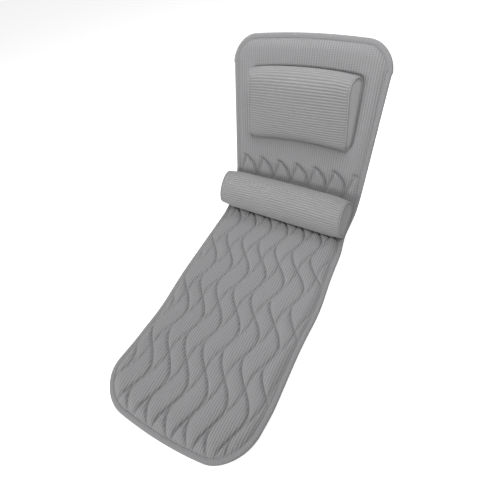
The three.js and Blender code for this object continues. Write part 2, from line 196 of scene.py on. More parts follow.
class Nodes(Tree):
    """A shader node tree that is filled from Python expressions."""

    def node(
        self, kind: str, settings: Settings = None, inputs: Inputs = None, output: Union[str, int] = 0
    ) -> Wire:
        """Adds a node and hands back one of its outputs as a wire."""
        return Wire(self, self.add(kind, settings, inputs).outputs[output])

    def math(self, operation: str, *values: Value) -> Wire:
        """Math node on one or two values."""
        return self.node("ShaderNodeMath", {"operation": operation}, dict(enumerate(values)))

    def mix(self, factor: Value, first: Any, second: Any) -> Wire:
        """Mix of two colours."""
        sockets = {0: factor, 6: first, 7: second}
        return self.node("ShaderNodeMix", {"data_type": "RGBA"}, sockets, 2)

    def seen(self) -> Wire:
        """Tells the rays by which the background is seen.

        Returns:
            1 on rays from the camera, from gloss and through clear pieces, and 0 on the rest.
        """
        path = self.add("ShaderNodeLightPath")
        camera, glossy, through = (Wire(self, path.outputs[f"Is {kind} Ray"]) for kind in RAYS)
        return self.math("MINIMUM", camera + glossy + through, 1.0)


class Paint(Nodes):
    """Node tree of one material, with a Principled shader at its end."""

    def __init__(self, name: str) -> None:
        """Starts a material with the shader alone.

        Args:
            name: the material's name.
        """
        self.material = bpy.data.materials.new(name)
        self.material.use_nodes = True
        super().__init__(self.material.node_tree)
        self.shader = self.add("ShaderNodeBsdfPrincipled")
        self.add("ShaderNodeOutputMaterial", inputs={"Surface": self.shader.outputs[0]})

    def uv(self) -> tuple[Wire, Wire]:
        """The two coordinates of the piece's own UV map, in metres."""
        split = self.add("ShaderNodeSeparateXYZ", inputs={0: self.node("ShaderNodeUVMap")})
        return Wire(self, split.outputs[0]), Wire(self, split.outputs[1])

    def painted_shade_by_seams(self) -> Wire:
        """Share of painted seam shade, 1 on a seam, from the mark on the points of the mesh."""
        mark = self.node("ShaderNodeAttribute", {"attribute_name": SEAM}, output="Fac")
        return mark.step(0.25, 0.95)

    def noise(self, scale: float) -> Wire:
        """Noise over the object's own coordinates, from 0 to 1."""
        place = self.node("ShaderNodeTexCoord", output="Object")
        return self.node("ShaderNodeTexNoise", inputs={"Vector": place, "Scale": scale, "Detail": 2.0})

    def bump(self, height: Wire, depth: float) -> Wire:
        """Normal of a relief whose height is given in units of depth."""
        inputs = {"Height": height, "Distance": depth, "Strength": 1.0}
        return self.node("ShaderNodeBump", inputs=inputs)

    def dressed(self, inputs: dict[str, Any]) -> bpy.types.Material:
        """Feeds the shader.

        Args:
            inputs: values or wires of the shader's sockets, by name.

        Returns:
            The finished material.
        """
        for name, value in inputs.items():
            self.feed(self.shader.inputs[name], value)
        return self.material


def rgba(colour: Colour) -> tuple[float, float, float, float]:
    """A colour with full opacity."""
    return (*colour, 1.0)


def shaded(colour: Colour, share: float) -> tuple[float, float, float, float]:
    """A colour made darker or lighter by a share, with full opacity."""
    return (*(min(c * share, 1.0) for c in colour), 1.0)


@dataclass(frozen=True)
class Cloth(ABC):
    """A finish of yarn: a colour, a fine relief and a soft sheen."""

    name: str
    colour: Colour
    depth: float = 0.0001
    roughness: float = 0.85
    sheen: float = 0.1
    sheen_roughness: float = 0.5
    specular: float = 0.5

    @abstractmethod
    def material(self) -> bpy.types.Material:
        """Builds the material."""

    def shade(self, share: float = 1.0) -> tuple[float, float, float, float]:
        """The colour made darker or lighter by a share."""
        return shaded(self.colour, share)

    def woven(self, paint: Paint, tone: Wire, relief: Wire) -> bpy.types.Material:
        """Ends the material.

        Args:
            paint: its nodes.
            tone: its colour.
            relief: its height in units of depth.

        Returns:
            The finished material.
        """
        return paint.dressed({
            "Base Color": tone,
            "Roughness": self.roughness,
            "Sheen Weight": self.sheen,
            "Sheen Roughness": self.sheen_roughness,
            "Specular IOR Level": self.specular,
            "Normal": paint.bump(relief, self.depth),
        })


@dataclass(frozen=True)
class AirMesh(Cloth):
    """Waffle mesh with raised ribs along one direction and rows of small gaps between them."""

    rib_pitch: float = 0.0064
    cell_pitch: float = 0.0047
    depth: float = 0.0005
    # Painted shade: the valleys between the ribs and the gaps of the mesh are darkened in colour.
    valley_painted_shade: float = 0.87
    gap_painted_shade: float = 0.54
    cell_share: float = 1.0
    # Painted shade along the seams: the quilting's creases, the binding's inner edge and the sleeves' end
    # seams.
    painted_seam_shade: float = 0.86
    patch_scale: float = 9.0
    patch_shade: float = 0.93
    yarn_scale: float = 900.0
    yarn_shade: float = 1.12
    roughness: float = 0.88
    specular: float = 0.2

    def material(self) -> bpy.types.Material:
        """Builds the material: ribs across u, cells along v, with painted shade in the valleys, in the
        gaps and along the seams.

        Returns:
            The finished material.
        """
        paint = Paint(self.name)
        across, along = paint.uv()
        rib = across.wave(self.rib_pitch)
        bar = along.wave(self.cell_pitch)
        valley = (1 - rib).step(0.35, 0.9)
        gap = valley * bar.step(0.35, 0.85) * self.cell_share
        yarn = paint.noise(self.yarn_scale)
        patch = paint.noise(self.patch_scale)
        # Painted shade in the valleys between the ribs and in the gaps of the mesh.
        tone = paint.mix(valley, self.shade(), self.shade(self.valley_painted_shade))
        tone = paint.mix(gap, tone, self.shade(self.gap_painted_shade))
        tone = paint.mix(patch.step(0.3, 0.75) * 0.5, tone, self.shade(self.patch_shade))
        tone = paint.mix(yarn.step(0.35, 0.8) * 0.25, tone, self.shade(self.yarn_shade))
        # Painted shade along the seams, from the point mark.
        tone = paint.mix(paint.painted_shade_by_seams(), tone, self.shade(self.painted_seam_shade))
        dips = bar * rib * (0.2 * self.cell_share)
        return self.woven(paint, tone, rib * 0.8 - dips - gap * 0.5 + yarn * 0.15)


@dataclass(frozen=True)
class Knit(Cloth):
    """Smooth close knit of the end panels and the piping."""

    loop_pitch: float = 0.0012
    depth: float = 0.00012
    patch_scale: float = 14.0
    patch_shade: float = 0.92
    fluff_scale: float = 1400.0
    # Painted shade along the panel's edges.
    painted_seam_shade: float = 0.42
    roughness: float = 0.82
    sheen: float = 0.15
    sheen_roughness: float = 0.45
    specular: float = 0.25

    def material(self) -> bpy.types.Material:
        """Builds the material: columns of slanted loops over u and v, with painted shade along the
        panel's edges.

        Returns:
            The finished material.
        """
        paint = Paint(self.name)
        across, along = paint.uv()
        column_wave = across.wave(2 * self.loop_pitch)
        loops = (along + column_wave * (0.6 * self.loop_pitch)).wave(self.loop_pitch)
        fluff = paint.noise(self.fluff_scale)
        patch = paint.noise(self.patch_scale)
        tone = paint.mix(loops * column_wave * 0.35, self.shade(0.9), self.shade(1.08))
        tone = paint.mix(patch.step(0.35, 0.75) * 0.4, tone, self.shade(self.patch_shade))
        # Painted shade along the panel's edges, from the point mark.
        tone = paint.mix(paint.painted_shade_by_seams(), tone, self.shade(self.painted_seam_shade))
        return self.woven(paint, tone, loops * 0.5 + column_wave * 0.3 + fluff * 0.4)


@dataclass(frozen=True)
class OpenNet(Cloth):
    """Pale net of the underside, with rows of small round holes."""

    hole_pitch: float = 0.0045
    hole_painted_shade: float = 0.45
    depth: float = 0.0004
    patch_scale: float = 11.0
    patch_shade: float = 0.88
    yarn_scale: float = 900.0

    def material(self) -> bpy.types.Material:
        """Builds the material: staggered holes over u and v, painted darker as shade.

        Returns:
            The finished material.
        """
        paint = Paint(self.name)
        across, along = paint.uv()
        row = (across / self.hole_pitch).floor()
        staggered = (along + row * (0.5 * self.hole_pitch)).wave(self.hole_pitch)
        hole = (across.wave(self.hole_pitch) * staggered).step(0.45, 0.75)
        patch = paint.noise(self.patch_scale)
        # Painted shade in the holes of the net.
        tone = paint.mix(hole, self.shade(), self.shade(self.hole_painted_shade))
        tone = paint.mix(patch.step(0.3, 0.8) * 0.35, tone, self.shade(self.patch_shade))
        return self.woven(paint, tone, 1 - hole + paint.noise(self.yarn_scale) * 0.2)


@dataclass(frozen=True)
class Thread(Cloth):
    """Twisted sewing thread."""

    fibre_scale: float = 2500.0
    roughness: float = 0.7

    def material(self) -> bpy.types.Material:
        """Builds the material.

        Returns:
            The finished material.
        """
        paint = Paint(self.name)
        fibre = paint.noise(self.fibre_scale)
        return self.woven(paint, paint.mix(fibre, self.shade(0.85), self.shade(1.1)), fibre)


@dataclass(frozen=True)
class SoftVinyl:
    """Clear soft vinyl of the suction cups."""

    name: str
    colour: Colour
    haze_scale: float = 60.0
    haze_shade: float = 0.92
    haze_roughness: float = 0.12
    roughness: float = 0.22
    clearness: float = 0.55
    depth: float = 0.0002

    def material(self) -> bpy.types.Material:
        """Builds the material: slightly milky, with uneven gloss.

        Returns:
            The finished material.
        """
        paint = Paint(self.name)
        haze = paint.noise(self.haze_scale)
        milky = shaded(self.colour, self.haze_shade)
        return paint.dressed({
            "Base Color": paint.mix(haze * 0.5, rgba(self.colour), milky),
            "Roughness": haze * self.haze_roughness + (self.roughness - self.haze_roughness / 2),
            "Transmission Weight": self.clearness,
            "IOR": 1.5,
            "Normal": paint.bump(haze, self.depth),
        })


@dataclass(frozen=True)
class Ground:
    """Plain pale floor that keeps the shadow."""

    name: str
    colour: Colour
    lift: float

    def material(self) -> bpy.types.Material:
        """Builds the material: a pale floor, lifted to white where the camera sees it.

        Returns:
            The finished material.
        """
        paint = Paint(self.name)
        return paint.dressed({
            "Base Color": rgba(self.colour),
            "Roughness": 0.95,
            "Specular IOR Level": 0.0,
            "Emission Color": paint.mix(paint.seen(), rgba((0, 0, 0)), rgba((self.lift,) * 3)),
            "Emission Strength": 1.0,
        })


@dataclass(frozen=True)
class Finishes:
    """The finishes of the bath pillow and its studio."""

    front: AirMesh = AirMesh("mat air mesh", (0.314, 0.312, 0.319))
    # Pillow and roll: their painted seam shade darkens the sleeves along their end seams.
    pillow: AirMesh = AirMesh(
        "pillow air mesh", (0.310, 0.308, 0.314),
        rib_pitch=0.0074, valley_painted_shade=0.85, cell_share=0.6, painted_seam_shade=0.45,
    )
    roll: AirMesh = AirMesh(
        "roll air mesh", (0.354, 0.352, 0.356),
        rib_pitch=0.0077, valley_painted_shade=0.78, cell_share=0.15, painted_seam_shade=0.40,
    )
    binding: AirMesh = AirMesh(
        "binding mesh", (0.290, 0.288, 0.295), depth=0.0002, valley_painted_shade=0.95, gap_painted_shade=0.85,
    )
    # Painted light: the gusset knit is the same knit as the roll ends, made lighter to stand for light on
    # the pillow's sides.
    gusset: Knit = Knit("gusset knit", (0.55, 0.55, 0.556))
    roll_end: Knit = Knit("roll end knit", (0.34, 0.34, 0.346))
    piping: Knit = Knit("piping knit", (0.36, 0.36, 0.366))
    underside: OpenNet = OpenNet("underside net", (0.50, 0.50, 0.51))
    quilt_thread: Thread = Thread("quilting thread", (0.25, 0.25, 0.256))
    edge_thread: Thread = Thread("edge thread", (0.25, 0.25, 0.256))
    vinyl: SoftVinyl = SoftVinyl("cup vinyl", (0.79, 0.82, 0.84))
    ground: Ground = Ground("pale floor", (0.93, 0.93, 0.93), 0.72)


def linked(name: str, data: Any) -> bpy.types.Object:
    """Puts data into the scene as an object at the origin.

    Args:
        name: the object's name.
        data: its mesh, lamp or camera.

    Returns:
        The object.
    """
    made = bpy.data.objects.new(name, data)
    bpy.context.scene.collection.objects.link(made)
    return made


def drawn(
    name: str,
    points: Array,
    faces: Sequence[Sequence[int]],
    uv: Optional[Array] = None,
    material: Optional[bpy.types.Material] = None,
) -> bpy.types.Object:
    """Makes a smooth mesh object at the origin.

    Args:
        name: the piece's name.
        points: places of its points, in metres.
        faces: point numbers of each face.
        uv: flat coordinates, one for each point or one for each face corner.
        material: its finish.

    Returns:
        The linked object.
    """
    mesh = bpy.data.meshes.new(name)
    mesh.from_pydata(np.asarray(points).tolist(), [], [list(map(int, f)) for f in faces])
    if uv is not None:
        layer = mesh.uv_layers.new(name="cloth")
        corner = column(mesh.loops, "vertex_index", kind=np.int32)
        flat = uv if len(uv) == len(corner) and len(uv) != len(points) else np.asarray(uv)[corner]
        layer.data.foreach_set("uv", np.asarray(flat, np.float32).ravel())
    if material is not None:
        mesh.materials.append(material)
    mesh.shade_smooth()
    return linked(name, mesh)


def column(items: Any, name: str, width: int = 1, kind: type = np.float32) -> Array:
    """Reads one property of every item of a mesh.

    Args:
        items: the mesh's points, faces or face corners.
        name: the property.
        width: how many numbers it has.
        kind: type of the numbers.

    Returns:
        The values, as rows where the property has several numbers.
    """
    flat = np.zeros(len(items) * width, kind)
    items.foreach_get(name, flat)
    return flat.reshape(-1, width) if width > 1 else flat


def places(mesh: bpy.types.Mesh) -> Array:
    """The places of a mesh's points as rows."""
    return column(mesh.vertices, "co", 3).astype(float)


def marked(mesh: bpy.types.Mesh, share: Array) -> None:
    """Stores on each point how near it lies to a seam, which the finish darkens as painted shade."""
    mark = mesh.attributes.new(SEAM, "FLOAT", "POINT")
    mark.data.foreach_set("value", share.astype(np.float32))


def clothed(mesh: bpy.types.Mesh, material: bpy.types.Material, share: Array) -> None:
    """Gives a mesh one finish, marks its seams for painted shade and smooths it.

    Args:
        mesh: the mesh to change.
        material: its finish.
        share: how near each point lies to a seam, darkened as painted shade.
    """
    mesh.materials.clear()
    mesh.materials.append(material)
    mesh.polygons.foreach_set("material_index", np.zeros(len(mesh.polygons), np.int32))
    marked(mesh, share)
    mesh.shade_smooth()


def cells(grid: Array) -> Array:
    """The four corners of each cell of a grid, in order round the cell, one cell to a row."""
    found = np.stack([grid[:-1, :-1], grid[:-1, 1:], grid[1:, 1:], grid[1:, :-1]], 2)
    return found.reshape(-1, *found.shape[2:])


def around(grid: Array) -> Array:
    """A grid whose rows come back to their start."""
    return np.concatenate([grid, grid[:, :1]], 1)


def rim_faces(top: Array, base: Array) -> list[list[int]]:
    """Faces that close the gap all round between two grids, one above the other.

    Args:
        top: point numbers of the upper grid.
        base: point numbers of the lower grid.

    Returns:
        The faces of the two sides and the two ends.
    """
    left = cells(np.stack([top[:, 0], base[:, 0]])).tolist()
    right = cells(np.stack([top[:, -1], base[:, -1]], -1)).tolist()
    return [*left, *right, [*top[0, ::-1], *base[0]], [*top[-1], *base[-1, ::-1]]]


def outward(points: Array, faces: list[list[int]]) -> list[list[int]]:
    """Turns the faces of a closed form to point out of it.

    Args:
        points: places of its points.
        faces: point numbers of each face, all turned alike.

    Returns:
        The faces, turned over where they pointed inward.
    """
    middle = points.mean(0)
    volume = 0.0
    for face in faces:
        corner = points[face] - middle
        for k in range(1, len(face) - 1):
            volume += float(np.dot(corner[0], np.cross(corner[k], corner[k + 1])))
    return [list(reversed(f)) for f in faces] if volume < 0 else faces


def settled(source: bpy.types.Object, name: str) -> bpy.types.Object:
    """Turns an object with modifiers into a plain mesh object and removes the source.

    Args:
        source: the object to evaluate.
        name: the new piece's name.

    Returns:
        The plain object.
    """
    graph = bpy.context.evaluated_depsgraph_get()
    mesh = bpy.data.meshes.new_from_object(source.evaluated_get(graph))
    old = source.data
    bpy.data.objects.remove(source)
    if old.users == 0:
        bpy.data.meshes.remove(old)
    mesh.name = name
    return linked(name, mesh)


def smooth_step(f: Array) -> Array:
    """Smooth step of values from 0 to 1."""
    f = np.clip(f, 0, 1)
    return f * f * (3 - 2 * f)


def nearest(x: Array, s: Array, loop: Array, batch: int = 4000) -> Array:
    """Squared distances of points from the nearest point of a loop.

    Args:
        x: distances across.
        s: distances along.
        loop: the loop's points as rows.
        batch: points handled at a time.

    Returns:
        The squared distances.
    """
    found = np.empty(len(x))
    for k in range(0, len(x), batch):
        part = slice(k, k + batch)
        gap = (x[part, None] - loop[None, :, 0]) ** 2 + (s[part, None] - loop[None, :, 1]) ** 2
        found[part] = gap.min(1)
    return found


def resampled(path: Array, step: float, closed: bool) -> Array:
    """Spaces the points of a path evenly.

    Args:
        path: points as rows.
        step: wanted distance between points.
        closed: whether the path comes back to its start.

    Returns:
        The evenly spaced points, without a repeat of the first on a closed path.
    """
    whole = np.vstack([path, path[:1]]) if closed else path
    run = np.concatenate([[0], np.cumsum(np.linalg.norm(np.diff(whole, axis=0), axis=1))])
    count = max(int(round(run[-1] / step)), 3)
    at = np.linspace(0, run[-1], count + 1)[: count if closed else count + 1]
    return np.stack([np.interp(at, run, whole[:, k]) for k in range(whole.shape[1])], -1)


def rounded(corners: Sequence[tuple[tuple[float, float], float]], steps: int = 10) -> Array:
    """Closed outline with round corners.

    Args:
        corners: places of the corners in order, each with its radius.
        steps: points on each round corner.

    Returns:
        The outline's points as rows.
    """
    spots = [np.array(place) for place, _ in corners]
    outline = []
    for i, (_, radius) in enumerate(corners):
        back = spots[i - 1] - spots[i]
        ahead = spots[(i + 1) % len(spots)] - spots[i]
        back /= np.linalg.norm(back)
        ahead /= np.linalg.norm(ahead)
        half = math.acos(float(back @ ahead)) / 2
        centre = spots[i] + (back + ahead) / np.linalg.norm(back + ahead) * radius / math.sin(half)
        first = spots[i] + back * radius / math.tan(half) - centre
        last = spots[i] + ahead * radius / math.tan(half) - centre
        sweep = math.pi - 2 * half
        for f in np.linspace(0, 1, steps):
            weight = np.sin(np.array([1 - f, f]) * sweep) / math.sin(sweep)
            outline.append(centre + first * weight[0] + last * weight[1])
    return np.array(outline)


class NodeLayer(Tree):
    """Geometry Nodes that lay stitches or a cord along a path."""

    def __init__(self, name: str, sizes: Sequence[str]) -> None:
        """Starts a tree.

        Args:
            name: the tree's name.
            sizes: names of its inputs, beside the path and the material.
        """
        super().__init__(bpy.data.node_groups.new(name, "GeometryNodeTree"))
        face = self.tree.interface
        face.new_socket("Path", in_out="INPUT", socket_type="NodeSocketGeometry")
        self.keys: dict[str, str] = {}
        kinds = {**dict.fromkeys(sizes, "NodeSocketFloat"), "Material": "NodeSocketMaterial"}
        for key, kind in kinds.items():
            self.keys[key] = face.new_socket(key, in_out="INPUT", socket_type=kind).identifier
        face.new_socket("Laid", in_out="OUTPUT", socket_type="NodeSocketGeometry")
        self.source = self.add("NodeGroupInput")

    def close(self, geometry: bpy.types.NodeSocket) -> None:
        """Ends the tree: smooth, realized, with its material.

        Args:
            geometry: what the tree has laid.
        """
        smooth = self.add("GeometryNodeSetShadeSmooth", inputs={"Geometry": geometry})
        real = self.add("GeometryNodeRealizeInstances", inputs={"Geometry": smooth.outputs[0]})
        inputs = {"Geometry": real.outputs[0], "Material": self.source.outputs["Material"]}
        dressed = self.add("GeometryNodeSetMaterial", inputs=inputs)
        self.add("NodeGroupOutput", inputs={0: dressed.outputs[0]})

    def lay(
        self, name: str, paths: Sequence[Path], sizes: dict[str, float], material: bpy.types.Material
    ) -> bpy.types.Object:
        """Lays the tree's pieces along paths.

        Args:
            name: the piece's name.
            paths: points, upward directions and whether the path is closed.
            sizes: values of the named inputs.
            material: finish of the result.

        Returns:
            A plain mesh object.
        """
        mesh = bpy.data.meshes.new(name + "_path")
        edges: list[tuple[int, int]] = []
        start = 0
        for points, _, closed in paths:
            edges += [(start + i, start + i + 1) for i in range(len(points) - 1)]
            if closed:
                edges.append((start + len(points) - 1, start))
            start += len(points)
        mesh.from_pydata(np.vstack([p for p, _, _ in paths]).tolist(), edges, [])
        up = mesh.attributes.new("up", "FLOAT_VECTOR", "POINT")
        up.data.foreach_set("vector", np.vstack([u for _, u, _ in paths]).astype(np.float32).ravel())
        source = linked(name + "_path", mesh)
        modifier = source.modifiers.new("laid", "NODES")
        modifier.node_group = self.tree
        for size, value in sizes.items():
            modifier[self.keys[size]] = float(value)
        modifier[self.keys["Material"]] = material
        return settled(source, name)


@dataclass(frozen=True)
class Stitch:
    """Sizes of a row of stitches."""

    pitch: float
    length: float
    thickness: float


class StitchLayer(NodeLayer):
    """Lock stitches at an even pitch, lying along the path."""

    def __init__(self) -> None:
        """Builds the tree."""
        super().__init__("stitch row", ("Pitch", "Length", "Thickness"))
        out = self.source.outputs
        curve = self.add("GeometryNodeMeshToCurve", inputs={0: out["Path"]})
        inputs = {"Curve": curve.outputs[0], "Length": out["Pitch"]}
        even = self.add("GeometryNodeResampleCurve", {"mode": "LENGTH"}, inputs)
        tangent = self.add("GeometryNodeInputTangent")
        up = self.add("GeometryNodeInputNamedAttribute", {"data_type": "FLOAT_VECTOR"}, {"Name": "up"})
        align = "FunctionNodeAlignRotationToVector"
        along = self.add(align, {"axis": "X"}, {"Vector": tangent.outputs[0]})
        inputs = {"Rotation": along.outputs[0], "Vector": up.outputs[0]}
        turn = self.add(align, {"axis": "Z", "pivot_axis": "X"}, inputs)
        thread = self.add("GeometryNodeMeshUVSphere", inputs={"Segments": 6, "Rings": 4, "Radius": 0.5})
        inputs = {0: out["Length"], 1: out["Thickness"], 2: out["Thickness"]}
        size = self.add("ShaderNodeCombineXYZ", inputs=inputs)
        inputs = {
            "Points": even.outputs[0],
            "Instance": thread.outputs[0],
            "Rotation": turn.outputs[0],
            "Scale": size.outputs[0],
        }
        self.close(self.add("GeometryNodeInstanceOnPoints", inputs=inputs).outputs[0])

    def sew(self, name: str, paths: Sequence[Path], stitch: Stitch, thread: Thread) -> bpy.types.Object:
        """Sews along paths.

        Args:
            name: the piece's name.
            paths: points, upward directions and whether the path is closed.
            stitch: sizes of the stitches.
            thread: finish of the thread.

        Returns:
            A plain mesh object.
        """
        sizes = {"Pitch": stitch.pitch, "Length": stitch.length, "Thickness": stitch.thickness}
        return self.lay(name, paths, sizes, thread.material())


class CordLayer(NodeLayer):
    """Round covered cord along a closed path."""

    def __init__(self) -> None:
        """Builds the tree."""
        super().__init__("piping cord", ("Radius",))
        out = self.source.outputs
        curve = self.add("GeometryNodeMeshToCurve", inputs={0: out["Path"]})
        inputs = {"Resolution": 10, "Radius": out["Radius"]}
        ring = self.add("GeometryNodeCurvePrimitiveCircle", {"mode": "RADIUS"}, inputs)
        inputs = {"Curve": curve.outputs[0], "Profile Curve": ring.outputs[0]}
        self.close(self.add("GeometryNodeCurveToMesh", inputs=inputs).outputs[0])


@dataclass(frozen=True)
class Fold:
    """Bend of the mat: turns a place on the flat mat into a place in the frame.

    On the flat mat, x runs across, s along from the fold toward the head, and n off the middle layer.
    """

    radius: float = 0.150
    recline: float = 1.2
    lift: float = 0.021
    origin: float = 0.174109
    blend_reach: float = 0.045

    @property
    def half(self) -> float:
        """Length of the bend on each side of the fold."""
        return self.radius * self.recline / 2

    def place(self, x: Array, s: Array, n: Array) -> Array:
        """Places points of the flat mat in the frame.

        Args:
            x: distances across.
            s: distances along.
            n: heights off the middle layer.

        Returns:
            Rows of x, y and z.
        """
        x, s, n = np.broadcast_arrays(*(np.asarray(a, float) for a in (x, s, n)))
        turn = np.clip((s + self.half) / self.radius, 0, self.recline)
        before = np.minimum(s + self.half, 0)
        after = np.maximum(s - self.half, 0)
        y = before + (self.radius - n) * np.sin(turn) + after * np.cos(turn) + self.origin
        z = self.radius - (self.radius - n) * np.cos(turn) + after * np.sin(turn) + self.lift
        return np.stack([x, y, z], -1)

    def normal(self, s: Array) -> Array:
        """Directions off the mat's face, as rows."""
        turn = np.clip((np.asarray(s, float) + self.half) / self.radius, 0, self.recline)
        return np.stack([0 * turn, -np.sin(turn), np.cos(turn)], -1)

    def join(self, piece: bpy.types.Object) -> None:
        """Bakes a piece's placement into its points."""
        ends = self.place(np.zeros(2), np.array([-self.blend_reach, self.blend_reach]), np.zeros(2))
        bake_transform(piece)


@dataclass(frozen=True)
class Outline:
    """Edge of the flat mat: straight sides, round corners and bowed ends."""

    width: float = 0.400
    head_width: float = 0.430
    seat_length: float = 0.702
    back_length: float = 0.449
    foot_radius: float = 0.087
    head_radius: float = 0.067
    foot_bow: float = 0.020
    head_bow: float = 0.012
    side_points: int = 60
    corner_points: int = 40
    end_points: int = 30
    step: float = 0.004
    fine_step: float = 0.002
    depth_step: float = 0.003

    def _half(self, length: float, radius: float, bow: float, end: float) -> Array:
        """Right-hand edge of one half of the mat.

        Args:
            length: length of the half at its sides.
            radius: radius of its corner.
            bow: how far its end bows out.
            end: half of its width at the end.

        Returns:
            Points from the fold to the middle of the end.
        """
        s = np.linspace(0, length - radius, self.side_points)
        side = np.stack([self.width / 2 + (end - self.width / 2) * s / length, s], -1)
        a = np.linspace(0, math.pi / 2, self.corner_points)[1:]
        corner = np.stack([end - radius * (1 - np.cos(a)), length - radius * (1 - np.sin(a))], -1)
        across = np.linspace(end - radius, 0, self.end_points)[1:]
        flat = np.stack([across, np.full(len(across), length)], -1)
        edge = np.vstack([side, corner, flat])
        reach = np.clip((edge[:, 1] - (length - radius)) / radius, 0, 1)
        edge[:, 1] += bow * (1 - (edge[:, 0] / end) ** 2) * reach
        return edge

    def right(self) -> Array:
        """Right-hand edge of the mat.

        Returns:
            Points from the middle of the foot to the middle of the head.
        """
        seat = self._half(self.seat_length, self.foot_radius, self.foot_bow, self.width / 2)
        back = self._half(self.back_length, self.head_radius, self.head_bow, self.head_width / 2)
        seat[:, 1] *= -1
        return np.vstack([seat[::-1], back[1:]])

    def loop(self, step: float) -> Array:
        """Whole edge of the mat.

        Args:
            step: distance between points.

        Returns:
            Evenly spaced points, anticlockwise from the middle of the foot.
        """
        right = self.right()
        left = right[::-1][1:-1] * np.array([-1, 1])
        return resampled(np.vstack([right, left]), step, True)

    @staticmethod
    def inward(loop: Array) -> Array:
        """Inward directions along a loop.

        Args:
            loop: points of a closed anticlockwise loop.

        Returns:
            A direction for each point.
        """
        along = np.roll(loop, -1, 0) - np.roll(loop, 1, 0)
        along /= np.linalg.norm(along, axis=1)[:, None]
        return np.stack([-along[:, 1], along[:, 0]], -1)

    def inset(self, distance: float, step: Optional[float] = None) -> Array:
        """Edge moved inward by a distance."""
        loop = self.loop(step or self.step)
        return loop + self.inward(loop) * distance

    def half_width(self, s: Array, distance: float) -> Array:
        """Half of the mat's width at places along it.

        Args:
            s: the places.
            distance: how far the edge is moved inward.

        Returns:
            The half widths.
        """
        loop = self.inset(distance, self.fine_step)
        right = loop[loop[:, 0] >= -TINY]
        right = right[np.argsort(right[:, 1])]
        return np.interp(s, right[:, 1], right[:, 0])

    def reach(self, distance: float) -> tuple[float, float]:
        """Lowest and highest place along the mat with its edge moved inward."""
        loop = self.inset(distance, self.fine_step)
        return float(loop[:, 1].min()), float(loop[:, 1].max())

    def depth(self, x: Array, s: Array) -> Array:
        """Distances of points inside the mat from its edge."""
        return np.sqrt(nearest(x, s, self.loop(self.depth_step)))


@dataclass(frozen=True)
class QuiltRun:
    """Lie of the quilting on one half of the mat.

    The waves count from start along the mat. A pair of seams stands at middle where it passes the fold,
    leans sideways along the mat, and repeats at an even spacing across it.
    """

    start: float
    middle: float
    lean: float
    spacing: float


